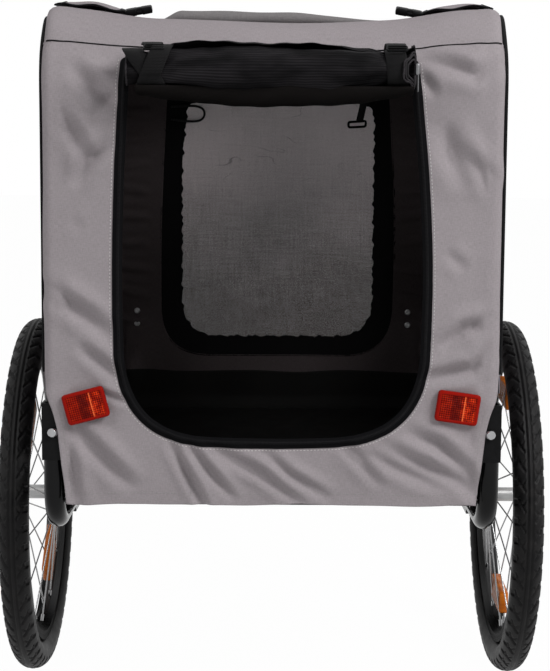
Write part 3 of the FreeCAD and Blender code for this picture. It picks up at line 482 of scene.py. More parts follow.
def rounded_outline(corners, bends, count=80, samples=24):
    """A closed line through corners, each cut at its own distance and rounded by the quadratic curve
    (1-s)²·start + 2s(1-s)·corner + s²·end; the runs between are divided evenly into count points."""
    corners = np.asarray(corners, float)
    bends = np.broadcast_to(np.asarray(bends, float), len(corners))[:, None]
    before = np.roll(corners, 1, 0) - corners
    after = np.roll(corners, -1, 0) - corners
    start = corners + unit(before) * bends
    end = corners + unit(after) * bends
    share = np.linspace(0, 1, samples)[None, :, None]
    curve = (1 - share) ** 2 * start[:, None] + 2 * share * (1 - share) * corners[:, None]
    curve = curve + share ** 2 * end[:, None]
    run_share = np.linspace(0, 1, count)[None, 1:-1, None]
    runs = end[:, None] * (1 - run_share) + np.roll(start, -1, 0)[:, None] * run_share
    return np.concatenate([curve, runs], 1).reshape(-1, 2)


def box_corners(half_width, half_height, middle=(0, 0)):
    """The four corners of an upright box, from the lower left one round to the upper left one."""
    corners = np.array([(-1, -1), (1, -1), (1, 1), (-1, 1)])
    return corners * np.array([half_width, half_height]) + np.asarray(middle)


def along_line(line, count, closed=True):
    """Count points at even distances along a line of many points, the last on the first if it is closed."""
    if closed:
        line = np.concatenate([line, line[:1]])
    walked = np.concatenate([[0], np.cumsum(steps_of(line))])
    places = np.linspace(0, walked[-1], count)
    return np.stack([np.interp(places, walked, line[:, axis]) for axis in range(line.shape[1])], -1)


def moulded(outline, levels, centre, right, up, out):
    """A moulded block: its outline shrinks by an inset at each level of height, and the last level closes to
    a point. The outline's two numbers run along right and up, and the height along out."""
    half = np.abs(outline).max(0)
    insets, heights = np.array(levels + [(9.0, levels[-1][1])]).T[:, :, None]
    shares = 1 - np.minimum(insets / half[:, None, None], 1)
    rows = joined(outline[:, 0] * shares[0], outline[:, 1] * shares[1], heights)
    axes = np.array([right, up, out], float)
    return np.asarray(centre, float) + rows @ axes


plate_outline = along_line(rounded_outline(box_corners(0.042, 0.016), 0.004), 90)
plate_levels = [(0.0159, 0.0), (0.0012, 0.0), (0, 0.0012), (0, 0.0118), (0.0012, 0.0130)]
plate_reach = 0.150
for side, hand, plate_turn in (("left", -1, 40.0), ("right", 1, 4.0)):
    plate_turn = math.radians(plate_turn)
    along = np.array([0, math.cos(plate_turn), math.sin(plate_turn)])
    outward = np.array([0, -math.sin(plate_turn), math.cos(plate_turn)])
    hub_middle = np.array([hand * wheel_plane - 0.0065, 0, wheel_radius])
    plates = []
    for end in (-1, 1):
        plate_middle = hub_middle + end * plate_reach * outward
        plates.append((moulded(plate_outline, plate_levels, plate_middle, along, outward, (1, 0, 0)), no_map))
    plate = make_piece(side + "_amber_plates", plates, [amber_lens], side + "_wheel", closed=True)
    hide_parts(side + "_spoke_reflectors")


# Drawbar and hitch: a bent black tube on a pivot bolt, held by a moulded knob, with a ribbed rubber coupling
# that bends, and a steel clevis for the bicycle's end.

black_tones = ((0.003, 0.003, 0.0033), (0.008, 0.008, 0.0084))
moulded_black = clouded("moulded_black", (0.014, 0.014, 0.015), 0.42, 0.0, (70.0, 3.0), black_tones,
                        sharp=(0.5, 0.8), rough=(0.34, 0.2), grain=(1300.0, 2.0, 0.00012),
                        Specular_IOR_Level=0.06)
coupling_rubber = clouded("coupling_rubber", (0.018, 0.018, 0.018), 0.68, 0.0, (55.0, 4.0),
                          ((0.013, 0.013, 0.013), (0.032, 0.031, 0.03)), rough=(0.55, 0.25),
                          grain=(700.0, 3.0, 0.0002), Specular_IOR_Level=0.15)

dress(black_paint, "drawbar")
dress(moulded_black, "drawbar_knob")
dress(zinc, "hitch_plate", "hitch_clevis")

coupling_radius = 0.015
coupling_length = 0.046
coupling_seat = (-0.095, 0.872, 0.325)
rib_count = 4
groove_depth = 0.003
share, turn = np.meshgrid(np.linspace(0, 1, 185), np.linspace(0, math.tau, 65), indexing="ij")
inside = rise(share, 0.10, 0.12) * (1 - rise(share, 0.88, 0.90))
grooves = (1 - rise(saw(share * rib_count), 0.09, 0.15)) * inside
rounded_end = (1 - rise(share, 0, 0.03)) + rise(share, 0.97, 1)
reach = coupling_radius - groove_depth * grooves - 0.0012 * rounded_end
coupling_grid = joined(reach * np.cos(turn), coupling_length * share, reach * np.sin(turn))
first_cap = coupling_grid[:1] * np.array([0, 1, 0])
last_cap = coupling_grid[-1:] * np.array([0, 1, 0])
coupling_grid = np.concatenate([first_cap, coupling_grid, last_cap]) + np.array(coupling_seat)
coupling = make_piece("rubber_coupling", [(coupling_grid, no_map)], [coupling_rubber], None, closed=True)
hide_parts("hitch_coupling")
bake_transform(coupling)


# Upper frame: two hoops of black tube that hinge in pressed steel brackets on the bows, and two bars across
# their tops, held by moulded saddles. The brackets have a duller paint than the tubes.

dress(black_paint, "left_side_hoop", "right_side_hoop", "top_bars")
dress(moulded_black, "top_bar_saddles")
dull_paint = clouded("dull_black_paint", (0.005, 0.005, 0.0055), 0.45, 0.0, (300.0, 2.0), black_tones,
                     Specular_IOR_Level=0.06)
dress(dull_paint, "hinge_brackets")


# Floor: a thin dark board on the cross tubes, inside a tub of coated black cloth with soft corners
# and a turned hem. The tub's walls stand a hand high and sway a little.

coated_black = Finish("coated_black", (0.012, 0.012, 0.012), 0.62, Specular_IOR_Level=0.08)
coated_map = coated_black.place("UV")
coated_cloud = coated_black.noise(coated_black.place(), 22.0, 4.0)
coated_weave = coated_black.noise(coated_map, 900.0)
coated_black.tint(coated_cloud, (0.004, 0.004, 0.004), (0.010, 0.0095, 0.009))
coated_black.feed("Roughness", 0.5 + coated_cloud * 0.25)
coated_black.bump(coated_cloud * 0.8 + coated_weave * 0.2, 0.0012)
dress(coated_black, "floor_board")

tub_outline = along_line(rounded_outline(box_corners(0.2505, 0.344), 0.03), 400)
tub_floor = 0.3165
tub_top = 0.379
thin_cloth = 0.0008
tub_turn = np.linspace(0, math.tau, 400)[None, :]
tub_share = np.concatenate([np.linspace(0, 0.97, 24), np.full(20, 0.97)])[:, None]
climb = np.concatenate([np.zeros(24), np.linspace(0, 1, 21)[1:]])[:, None]
sway = climb * (0.0022 * np.sin(9 * tub_turn + 0.6) + 0.0012 * np.sin(23 * tub_turn))
corner_ease = 0.024 * rise(climb, 0, 0.35)
tub_reach = tub_share + corner_ease + (sway - 0.002) / 0.25 * rise(climb, 0, 0.3)
tub_xy = tub_outline[None] * tub_reach[..., None]
ruck = 0.0012 * (1 + np.sin(7 * tub_xy[..., 0] / 0.06 + 5 * np.sin(tub_xy[..., 1] / 0.09)))
tub_z = tub_floor + (tub_top - tub_floor) * climb + ruck * (1 - rise(climb, 0, 0.3))
tub_z = tub_z + climb * 0.0015 * np.sin(13 * tub_turn)
tub_grid = np.concatenate([tub_xy, tub_z[..., None]], -1)
tub = make_piece("tub_lining", [(tub_grid, tub_grid[..., :2] + tub_grid[..., 2:])], [coated_black])
thick = tub.modifiers.new("cloth", "SOLIDIFY")
thick.thickness = thin_cloth
thick.offset = 0
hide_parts("floor_tub")
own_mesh(tub)


# Rear panel: grey polyester sewn into the cover, with a D-shaped doorway. It is pulled round the hoops at
# both sides, ends in a turned hem below, and is sewn to the roof along a seam that sags in the middle.
# Its creases run from the fittings and corners that pull on it.

bend_foot = 0.810
bend_radius = 0.0973
bend_middle = 0.253
edge_line = 0.263
edge_radius = 0.0123
quarter = math.pi / 2
cover_half_width = edge_line + edge_radius * quarter
roof_middle = bend_foot + bend_radius * quarter + bend_middle
hem_height = 0.3132
seam_top = 0.8747


def cover_point(across, height, lift):
    """Place a point of the cover, given across the cover and along its girth from the rear hem over the
    roof to the front hem. The cloth stands upright, follows a quarter circle at the bend and lies level
    as the roof; the front half mirrors the rear. Past the edge line it turns a quarter circle round the
    hoop. Lift is the distance off that surface, along its normal."""
    rear_height = np.minimum(height, 2 * roof_middle - height)
    facing = np.where(height > roof_middle, -1.0, 1.0)
    turn = np.clip((rear_height - bend_foot) / bend_radius, 0, quarter)
    level = np.maximum(rear_height - bend_foot - bend_radius * quarter, 0)
    wrap = np.clip((np.abs(across) - edge_line) / edge_radius, 0, quarter)
    outward = lift * np.cos(wrap) - edge_radius * (1 - np.cos(wrap))
    aside = np.minimum(np.abs(across), edge_line) + (edge_radius + lift) * np.sin(wrap)
    back = bend_middle + (bend_radius + outward) * np.cos(turn) - level
    z = np.minimum(rear_height, bend_foot) + (bend_radius + outward) * np.sin(turn)
    return joined(np.sign(across) * aside, -facing * back, z)


def spread(flat, lift, off=0.0, place=cover_point):
    """Lay a flat sheet on the cover, or where else place puts its points, at its own lift and so far off."""
    across, height = flat[..., 0], flat[..., 1]
    return place(across, height, lift(across, height) + off)


def turned(grid, flat, order=-1):
    """A surface that faces the other way."""
    return grid[:, ::order], flat[:, ::order]


def seam_height(across):
    """The rear seam along the girth: highest at the edges, and lower by a parabola towards the middle."""
    return seam_top - 0.012 * (1 - (across / cover_half_width) ** 2)


def ray_points(outline, middle, angles):
    """The points of a closed outline that lie at given angles, as seen from a middle point."""
    aside = outline - np.asarray(middle)
    turns = np.unwrap(np.arctan2(aside[:, 1], aside[:, 0]))
    turns = turns - math.tau * np.round((turns.mean() - angles.mean()) / math.tau)
    order = np.argsort(turns)
    turns = turns[order]
    line = outline[order]
    turns = np.concatenate([turns - math.tau, turns, turns + math.tau])
    line = np.concatenate([line, line, line])
    return joined(np.interp(angles, turns, line[:, 0]), np.interp(angles, turns, line[:, 1]))


def ring_sheet(inner, outer, middle, columns, rows):
    """A flat sheet with a hole: rays from the middle cross both outlines, and row s holds
    inner·(1-s) + outer·s. The outer outline's sharp corners have rays of their own."""
    angles = np.linspace(-math.pi, math.pi, columns)
    run = np.roll(outer, -1, 0) - outer
    run = run / np.maximum(np.linalg.norm(run, axis=1, keepdims=True), 1e-9)
    sharp = outer[np.sum(run * np.roll(run, 1, 0), 1) < 0.985] - np.asarray(middle)
    angles = np.sort(np.concatenate([angles, np.arctan2(sharp[:, 1], sharp[:, 0])]))
    share = np.linspace(0, 1, rows)[:, None, None]
    return ray_points(inner, middle, angles) * (1 - share) + ray_points(outer, middle, angles) * share


def inset_line(line, distance):
    """A closed line, whose last point repeats its first, moved inwards, square to its run."""
    ahead = np.roll(line[:-1], -1, 0)
    behind = np.roll(line[:-1], 1, 0)
    run = unit(ahead - behind)
    inward = joined(-run[:, 1], run[:, 0])
    moved = line[:-1] + inward * distance
    return np.concatenate([moved, moved[:1]])


crease_overrun = 0.35
crease_widening = 1.25
crease_strength = 1.7
full_crease_length = 0.075
ridge_place = 1.9
ridge_width = 1.15
upper_ridge = 0.75
lower_ridge = 0.4


def crease_lift(across, height, lines):
    """How far the creases move the cloth: a groove exp(-(d/w)²) at the distance d from each line, with a high
    ridge on its upper side and a low one below, all fading out towards the line's two ends, which run on by
    about a third. A short line is as much shallower."""
    total = np.zeros_like(across)
    for depth, width, knots in lines:
        knots = np.array(knots)
        knots[0] += crease_overrun * (knots[0] - knots[1])
        knots[-1] += crease_overrun * (knots[-1] - knots[-2])
        width = crease_widening * width
        lengths = steps_of(knots)
        depth = depth * min(1, lengths.sum() / full_crease_length)
        walked = np.concatenate([[0], np.cumsum(lengths)]) / lengths.sum()
        nearest = np.full(across.shape, 9.0)
        share = np.zeros_like(across)
        above = np.zeros_like(across)
        for first, second, length, start, end in zip(knots[:-1], knots[1:], lengths, walked[:-1], walked[1:]):
            run = (second - first) / length
            along = (across - first[0]) * run[0] + (height - first[1]) * run[1]
            kept = np.clip(along, 0, length)
            gap = np.hypot(across - first[0] - kept * run[0], height - first[1] - kept * run[1])
            closer = gap < nearest
            nearest = np.where(closer, gap, nearest)
            share = np.where(closer, start + (end - start) * kept / length, share)
            side = np.sign((height - first[1]) * run[0] - (across - first[0]) * run[1])
            above = np.where(closer, side * np.sign(run[0] + 1e-9), above)
        fade = np.sin(math.pi * share)
        ridge = np.exp(-((nearest - ridge_place * width) / (ridge_width * width)) ** 2)
        ridge = np.where(above > 0, upper_ridge, lower_ridge) * ridge
        total += crease_strength * depth * fade * (ridge - np.exp(-(nearest / width) ** 2))
    return total


panel_creases = [
    (0.0050, 0.0080, [(-0.274, 0.574), (-0.225, 0.545), (-0.198, 0.522)]),
    (0.0035, 0.0060, [(-0.225, 0.502), (-0.193, 0.476)]),
    (0.0032, 0.0035, [(-0.2065, 0.450), (-0.180, 0.441)]),
    (0.0050, 0.0070, [(-0.238, 0.404), (-0.2065, 0.373), (-0.175, 0.340)]),
    (0.0035, 0.0060, [(-0.2475, 0.382), (-0.238, 0.324)]),
    (0.0040, 0.0046, [(-0.117, 0.380), (-0.086, 0.319)]),
    (0.0040, 0.0046, [(-0.095, 0.378), (-0.059, 0.335)]),
    (0.0042, 0.0055, [(-0.058, 0.374), (-0.012, 0.352), (0.028, 0.322)]),
    (0.0050, 0.0065, [(0.255, 0.3214), (0.2235, 0.346), (0.201, 0.357), (0.1425, 0.382)]),
    (0.0048, 0.0065, [(0.255, 0.332), (0.237, 0.357), (0.201, 0.3885), (0.170, 0.400)]),
    (0.0035, 0.0060, [(0.208, 0.335), (0.1565, 0.357), (0.112, 0.3775)]),
    (0.0030, 0.0055, [(0.127, 0.346), (0.096, 0.3775)]),
    (0.0036, 0.0050, [(0.062, 0.326), (0.022, 0.350), (-0.004, 0.372)]),
    (0.0045, 0.0065, [(0.1835, 0.468), (0.2125, 0.475), (0.2415, 0.481), (0.266, 0.504)]),
    (0.0042, 0.0065, [(0.208, 0.5105), (0.230, 0.529), (0.263, 0.540)]),
    (0.0026, 0.0055, [(0.210, 0.619), (0.226, 0.606)]),
    (0.0026, 0.0045, [(0.2525, 0.4435), (0.268, 0.4495)]),
    (0.0045, 0.0075, [(-0.232, 0.832), (-0.1955, 0.804)]),
    (0.0032, 0.0055, [(-0.2115, 0.7854), (-0.1914, 0.8018)]),
    (0.0042, 0.0075, [(-0.259, 0.788), (-0.2363, 0.7597), (-0.22, 0.729)]),
    (0.0042, 0.0065, [(-0.234, 0.704), (-0.22, 0.727), (-0.194, 0.749)]),
    (0.0024, 0.0055, [(-0.24, 0.656), (-0.2305, 0.65)]),
    (0.0045, 0.0070, [(0.181, 0.848), (0.2097, 0.842), (0.238, 0.832), (0.2647, 0.849)]),
    (0.0034, 0.0055, [(0.173, 0.83), (0.1874, 0.812)]),
    (0.0042, 0.0095, [(0.203, 0.768), (0.212, 0.735), (0.230, 0.704)]),
    (0.0036, 0.0075, [(0.226, 0.742), (0.250, 0.7165), (0.2667, 0.693)]),
]


def roof_sag(across, height):
    """How far the cloth sags between the hoops, by a parabola across, and stands up along both seams."""
    rear_height = np.minimum(height, 2 * roof_middle - height)
    aside = np.abs(across)
    sag = -0.009 * np.clip(1 - (across / 0.262) ** 2, 0, 1) * rise(rear_height, 0.80, 0.90)
    seam_ridge = 0.0085 * rise(aside, 0.14, 0.24) * (1 - rise(aside, 0.268, cover_half_width))
    return sag + seam_ridge * rise(rear_height, 0.87, 0.955)


def bracket_lift(across, height):
    """How far the panel's slanted edge is pushed out where it lies over a hinge bracket."""
    over = rise(height, 0.340, 0.362) * (1 - rise(height, 0.440, 0.466))
    return 0.0034 * rise(np.abs(across), 0.238, 0.250) * over


def panel_lift(across, height):
    """The rear panel's own shape: slow waves, the creases above and the roof's sag, and nothing below the
    hoop's own surface along the edges."""
    waves = 0.0018 * np.sin(across / 0.061 + 1.1) * np.sin(height / 0.083 + 0.4)
    waves = waves + 0.0010 * np.sin(across / 0.027 - height / 0.033) + 0.0010 * np.sin(height / 0.047 + 2.0)
    hem_waves = 0.0022 * np.sin(across / 0.024 + 0.9 * np.sin(across / 0.07))
    hem_waves = hem_waves * (1 - rise(height, 0.32, 0.385))
    lift = waves + hem_waves + crease_lift(across, height, panel_creases)
    edge = rise(np.abs(across), 0.240, 0.256)
    deepest = -0.004 - 0.003 * rise(height, 0.39, 0.42)
    bent = np.maximum(lift * (1 - 0.55 * edge), deepest * (1 - edge) - 0.0003)
    return bent + roof_sag(across, height) + bracket_lift(across, height)


def cloth_finish(name, dark, pale, roughness, crumple):
    """Woven polyester: warp and weft cross as two sine waves, each thread's thickness drifts along it, and
    slow noise crumples the surface and clouds its colour. The map is in metres along the threads."""
    cloth = Finish(name, pale, roughness, Specular_IOR_Level=0.06)
    flat = cloth.place("UV")
    across, along = cloth.split(flat)[:2]
    thread = 0.00085
    weave = (across * (math.tau / thread)).sine() * (along * (math.tau / thread)).sine()
    weft = cloth.noise(flat, 1100.0, 2.0, (0.16, 1, 1))
    warp = cloth.noise(flat, 1100.0, 2.0, (1, 0.16, 1))
    heather = (weft + warp) * 0.5
    cloud = cloth.noise(flat, 7.0, 3.0)
    shade = heather.step(0.25, 0.75) * 0.6 + cloud * 0.4
    cloth.tint(shade, dark, pale)
    cloth.feed("Roughness", (roughness - 0.06) + heather * 0.12)
    small = cloth.noise(flat, 38.0, 3.0)
    cloth.bump(small * crumple + heather * 0.1 + weave * 0.05, 0.0016)
    return cloth


grey_cloth = cloth_finish("grey_polyester", (0.215, 0.194, 0.203), (0.340, 0.307, 0.320), 0.86, 0.5)
dark_lining = cloth_finish("dark_coating", (0.052, 0.042, 0.043), (0.092, 0.076, 0.078), 0.66, 0.7)
black_cloth = cloth_finish("black_polyester", (0.0028, 0.0026, 0.0030), (0.0078, 0.0074, 0.0080), 0.74, 0.6)


def sewn(piece, slot, *nodes):
    """Hide the imported solids that a sewn piece stands for, and give the piece its own copy of its mesh."""
    if nodes:
        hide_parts(*nodes)
    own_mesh(piece)


stout_cloth = 0.0012
light_cloth = 0.0010


def thicken(piece, thickness, inner=1):
    """Give a sheet its thickness, inwards from its outer face, with another finish inside."""
    wall = piece.modifiers.new("cloth", "SOLIDIFY")
    wall.thickness = thickness
    wall.offset = -1
    wall.material_offset = inner


hem_half = 0.2490
right_edge = np.array([(hem_half, hem_height), (0.2505, 0.330), (0.2540, 0.360), (0.2575, 0.390),
                       (0.2590, 0.405), (0.2650, 0.430), (0.2785, 0.470), (0.2823, 0.484)])
left_edge = right_edge[::-1] * np.array([-1, 1])
hem_run = np.linspace(-hem_half, hem_half, 90)[1:-1]
hem_line = joined(hem_run, hem_height + 0.0014 * np.sin(hem_run / 0.021) * np.cos(hem_run / 0.09))
seam_run = np.linspace(cover_half_width, -cover_half_width, 80)
seam_line = joined(seam_run, seam_height(seam_run))
panel_outline = np.concatenate([hem_line, right_edge, seam_line, left_edge])
panel_outline = along_line(panel_outline, 6000)[:-1]
door_corners = [(-0.181, 0.852), (-0.1935, 0.640), (-0.1885, 0.3880), (0.0, 0.3815), (0.1885, 0.3880),
                (0.1935, 0.640), (0.171, 0.852)]
door_outline = rounded_outline(door_corners, [0.01, 0.1, 0.118, 0.06, 0.118, 0.1, 0.01])
panel_middle = (0.0, 0.60)
panel_hole = inset_line(along_line(door_outline, 3000), 0.006)[:-1]
panel_flat = ring_sheet(panel_hole, panel_outline, panel_middle, 620, 64)
panel_surface = turned(spread(panel_flat, panel_lift), panel_flat)
rear_panel = make_piece("rear_cloth_panel", [panel_surface], [grey_cloth, dark_lining])
thicken(rear_panel, stout_cloth)
sewn(rear_panel, "grey_fabric", "rear_panel")


# Doorway zip: a black woven tape sewn round the doorway, with a nylon coil along its middle and a row
# of pale lock stitches just outside it.

def band(line, offsets, lifts, ground, place=cover_point):
    """A profile carried along a closed line of a sheet: each profile point lies at an offset inside the line
    and at a lift above the ground, which is the lift of the cloth there. Gives the points and their map."""
    moved = np.stack([inset_line(line, offset) for offset in offsets], 1)
    walked = np.linspace(0, steps_of(line).sum(), len(line))
    return spread(moved, ground, np.asarray(lifts), place), joined(walked[:, None], np.asarray(offsets))


zip_tape = Finish("zip_tape", (0.01, 0.01, 0.011), 0.62, Specular_IOR_Level=0.04)
tape_along, tape_across = zip_tape.split(zip_tape.place("UV"))[:2]
coil_band = 1 - (tape_across - 0.0067).size().step(0.0016, 0.0024)
coil = tape_along.ribs(0.0016)
ribs = tape_across.ribs(0.0011)
zip_tape.tint(coil_band * coil, (0.0030, 0.0029, 0.0034), (0.0095, 0.0092, 0.0102))
zip_tape.feed("Roughness", 0.7 - coil_band * 0.32)
zip_tape.bump(coil_band * coil + ribs * 0.2, 0.0005)

tape_line = along_line(door_outline, 900)
tape_offsets = [0, 0, 0.0006, 0.0044, 0.0050, 0.0060, 0.0074, 0.0084, 0.0090, 0.0118, 0.0122, 0.0122]
tape_lifts = [-0.0006, 0.0008, 0.0011, 0.0011, 0.0017, 0.0024, 0.0024, 0.0017, 0.0010, 0.0010, 0.0007,
              -0.0006]
tape_grid, tape_flat = band(tape_line, tape_offsets, tape_lifts, panel_lift)
doorway_zip = make_piece("doorway_zip", [(tape_grid, tape_flat)], [zip_tape])


def stitch_row(line, length, width, height, pitch, ground):
    """A row of stitches along a line of the cover: half-sunk drops, each the surface
    (length·cos v, width·sin v·cos u, height·sin v·sin u) set along the line, square to the cloth."""
    centres = along_line(line, int(steps_of(line).sum() / pitch), False)
    ahead = unit(np.gradient(centres, axis=0))
    around, over = np.meshgrid(np.linspace(0, math.tau, 7), np.linspace(0, math.pi, 5))
    along = length / 2 * np.cos(over)
    aside = width / 2 * np.sin(over) * np.cos(around)
    up = height * np.sin(over) * np.sin(around)
    across = centres[:, 0, None, None] + along * ahead[:, 0, None, None] - aside * ahead[:, 1, None, None]
    high = centres[:, 1, None, None] + along * ahead[:, 1, None, None] + aside * ahead[:, 0, None, None]
    return cover_point(across, high, ground(across, high) + up)


pale_thread = clouded("pale_thread", (0.5, 0.48, 0.47), 0.7, 0.0, (1500.0, 2.0),
                      ((0.36, 0.34, 0.335), (0.6, 0.58, 0.57)), grain=(1500.0, 2.0, 0.0002))
stitch_line = inset_line(tape_line, -0.0026)
stitch_line = np.roll(stitch_line[:-1], -np.argmax(stitch_line[:-1, 1] - stitch_line[:-1, 0]), 0)
stitch_line = stitch_line[stitch_line[:, 1] < 0.848]
door_stitch = (0.0026, 0.0011, 0.0006, 0.0042)
stitches = stitch_row(stitch_line, *door_stitch, panel_lift)
door_stitches = make_piece("doorway_stitches", [(stitches, no_map)], [pale_thread], closed=True)
sewn(door_stitches, "grey_fabric")


# Hem of the rear panel: the cloth is turned up once and sewn, along its foot and both slanted edges, which
# leaves a row of grey stitches.

hem_depth = 0.014
hem_stitch = (0.0030, 0.0010, 0.0004, 0.0045)
hem_path = joined(hem_run, hem_line[:, 1] + hem_depth)
grey_thread = clouded("grey_thread", (0.22, 0.21, 0.21), 0.75, 0.0, (1500.0, 2.0),
                      ((0.16, 0.15, 0.15), (0.3, 0.285, 0.28)))
edge_depth = 0.0075
edge_run = along_line(right_edge[:-2] - np.array([edge_depth, 0]), 60, False)
hem_paths = [hem_path] + [edge_run * np.array([hand, 1]) for hand in (-1, 1)]
hem_rows = [(stitch_row(path, *hem_stitch, panel_lift), no_map) for path in hem_paths]
rear_hem = make_piece("rear_hem_stitches", hem_rows, [grey_thread], closed=True)
sewn(rear_hem, "grey_fabric")


# Side walls: grey cloth sewn inside the two hoops, each with a mesh window behind a black binding. The
# foot is cut out at both ends for the hinge brackets, and a short skirt hangs between them.

wall_plane = 0.2766
wall_arc = np.linspace(0, quarter, 30)
wall_radius = 0.085
wall_bend = joined(bend_middle + wall_radius * np.cos(wall_arc), bend_foot + wall_radius * np.sin(wall_arc))
wall_foot = [(0.0, 0.384), (0.285, 0.384), (0.292, 0.448), (0.338, 0.450)]
wall_half = np.concatenate([wall_foot, wall_bend])
wall_outline = np.concatenate([wall_half, (wall_half * np.array([-1, 1]))[::-1]])
wall_outline = along_line(wall_outline, 5000)[:-1]
wall_middle = (0.0, 0.665)
window_outline = rounded_outline(box_corners(0.215, 0.135, wall_middle), 0.05)


def wall_lift(along, height):
    """The side wall's slack: it billows by slow waves in its middle and lies flat against the hoop."""
    inside = (1 - rise(np.abs(along), 0.24, 0.325)) * (1 - rise(height, 0.78, 0.88))
    waves = 0.0030 * np.sin(along / 0.052 + 1.4 * np.sin(height / 0.09)) + 0.0022 * np.sin(height / 0.031)
    skirt = 0.0032 * np.sin(along / 0.022 + np.sin(along / 0.06)) * (1 - rise(height, 0.39, 0.47))
    return np.maximum((waves + skirt) * inside, -0.002)


def wall_point(along, height, lift):
    """A point of the right side wall: its place along the trailer, its height, and its lift off the plane."""
    return joined(wall_plane + lift, along, height)


def filled(line, middle, rows):
    """A flat sheet inside a closed line: row s holds middle·(1-s) + line·s."""
    share = np.linspace(0, 1, rows)[:, None, None]
    return np.asarray(middle) * (1 - share) + line[None] * share


def mesh_finish(name, colour, pale, pitch, open_share):
    """Knitted mesh: threads run both ways, a pitch apart, and the holes between them, wider by the root of
    the open share, are clear. Noise drawn out along the threads makes some of them paler. The threads are
    painted paler higher up, a painted light, and faint creases close the holes and are painted darker, a
    painted shade."""
    mesh = Finish(name, colour, 0.7, Specular_IOR_Level=0.12)
    flat = mesh.place("UV")
    across, along = mesh.split(flat)[:2]
    hole = 0.5 * math.sqrt(open_share)
    blur = 0.04
    first = ((across / pitch).part() - 0.5).size().step(hole - blur, hole + blur)
    second = ((along / pitch).part() - 0.5).size().step(hole - blur, hole + blur)
    weft = mesh.noise(flat, 380.0, 2.0, (0.06, 1, 1))
    warp = mesh.noise(flat, 380.0, 2.0, (1, 0.06, 1))
    grain = mesh.noise(flat, 420.0) - 0.5
    cloud = (weft + warp) * 0.5 + grain * 0.8 + (mesh.noise(flat, 7.0, 3.0) - 0.5) * 0.9
    crease = 1 - (mesh.noise(flat, 12.0, 2.0, (0.6, 1.5, 1)) - 0.5).size().step(0.001, 0.008)
    crease = crease * mesh.noise(flat, 17.0, 1.0).step(0.5, 0.68) * along.step(0.60, 0.74)
    thread = first.most(second).most(crease * 0.25)
    # Painted light: the threads grow paler towards the top of the mesh.
    painted_light_high_up = along.step(0.42, 0.80)
    # Painted shade: the creases make the threads darker.
    paleness = (painted_light_high_up + cloud * 0.6 - crease * 0.4).step(0.2, 1.5)
    mesh.tint(paleness, colour, pale)
    mesh.feed("Alpha", thread)
    return mesh


black_mesh = mesh_finish("black_mesh", (0.012, 0.012, 0.013), (0.031, 0.031, 0.034), 0.0018, 0.30)
binding = cloth_finish("black_binding", (0.003, 0.003, 0.0035), (0.008, 0.008, 0.0085), 0.66, 0.3)
band_offsets = [-0.006, -0.006, -0.0052, 0.0052, 0.006, 0.006]
band_lifts = [-0.0005, 0.0010, 0.0014, 0.0014, 0.0010, -0.0020]
window_line = along_line(window_outline, 500)
wall_hole = inset_line(along_line(window_outline, 2000), 0.002)[:-1]
wall_flat = ring_sheet(wall_hole, wall_outline, wall_middle, 420, 40)
wall_grid = spread(wall_flat, wall_lift, 0.0, wall_point)
mesh_flat = filled(inset_line(window_line, -0.004), wall_middle, 24)
mesh_grid = spread(mesh_flat, wall_lift, -0.0015, wall_point)
band_grid, band_flat = band(window_line, band_offsets, band_lifts, wall_lift, wall_point)
for side, hand in sides:
    mirror = np.array([hand, 1, 1])
    wall_surface = turned(wall_grid * mirror, wall_flat, -hand)
    wall = make_piece(side + "_cloth_wall", [wall_surface], [grey_cloth, dark_lining])
    thicken(wall, light_cloth)
    sewn(wall, "grey_fabric", side + "_side_wall")
    mesh_surface = turned(mesh_grid * mirror, mesh_flat, -hand)
    mesh_window = make_piece(side + "_mesh_window", [mesh_surface], [black_mesh])
    sewn(mesh_window, "black_mesh", side + "_window_mesh")
    band_surface = (band_grid * mirror, band_flat)
    window_binding = make_piece(side + "_window_binding", [band_surface], [binding], closed=True)
    sewn(window_binding, "black_fabric")


# Piping: a round cord in black tape, sewn into both long seams between the side walls and the panels. It is
# thicker where it goes round the rear corner.

def tube(path, radius, facets, aside):
    """A round profile carried along a path: at every point, radius·(cos·first + sin·second), where the first
    direction is square to the path and to aside, and the second is square to both."""
    run = unit(np.gradient(path, axis=0))
    first = unit(np.cross(run, np.asarray(aside, float)))
    second = np.cross(run, first)
    turn = np.linspace(0, math.tau, facets + 1)[None, :, None]
    radius = np.broadcast_to(radius, len(path))[:, None, None]
    ring = path[:, None] + radius * (np.cos(turn) * first[:, None] + np.sin(turn) * second[:, None])
    start = np.broadcast_to(path[0], ring[:1].shape)
    end = np.broadcast_to(path[-1], ring[:1].shape)
    return np.concatenate([start, ring, end])


piping_foot = 0.474
piping_girth = np.linspace(piping_foot, 2 * roof_middle - piping_foot, 420)
for side, hand in sides:
    corner = np.exp(-((piping_girth - 0.935) / 0.06) ** 2)
    across = hand * (edge_line + edge_radius * np.radians(77 - 6 * hand - 20 * corner))
    path = cover_point(across, piping_girth, 0.0012 + roof_sag(across, piping_girth))
    fatter = 0.0020 + 0.0003 * hand + 0.0010 * np.exp(-((piping_girth - 0.885) / 0.05) ** 2)
    ring = tube(path, fatter, 10, (1, 0, 0))
    piping = make_piece(side + "_piping", [(ring, ring[..., 1:])], [binding], closed=True)
    sewn(piping, "black_fabric")


# Roof: grey cloth over the hoops and bars, sewn to both panels, with a mesh window in the middle. The cloth
# dips a little between the bars, and the rear band keeps faint lines of the fold it was packed in.

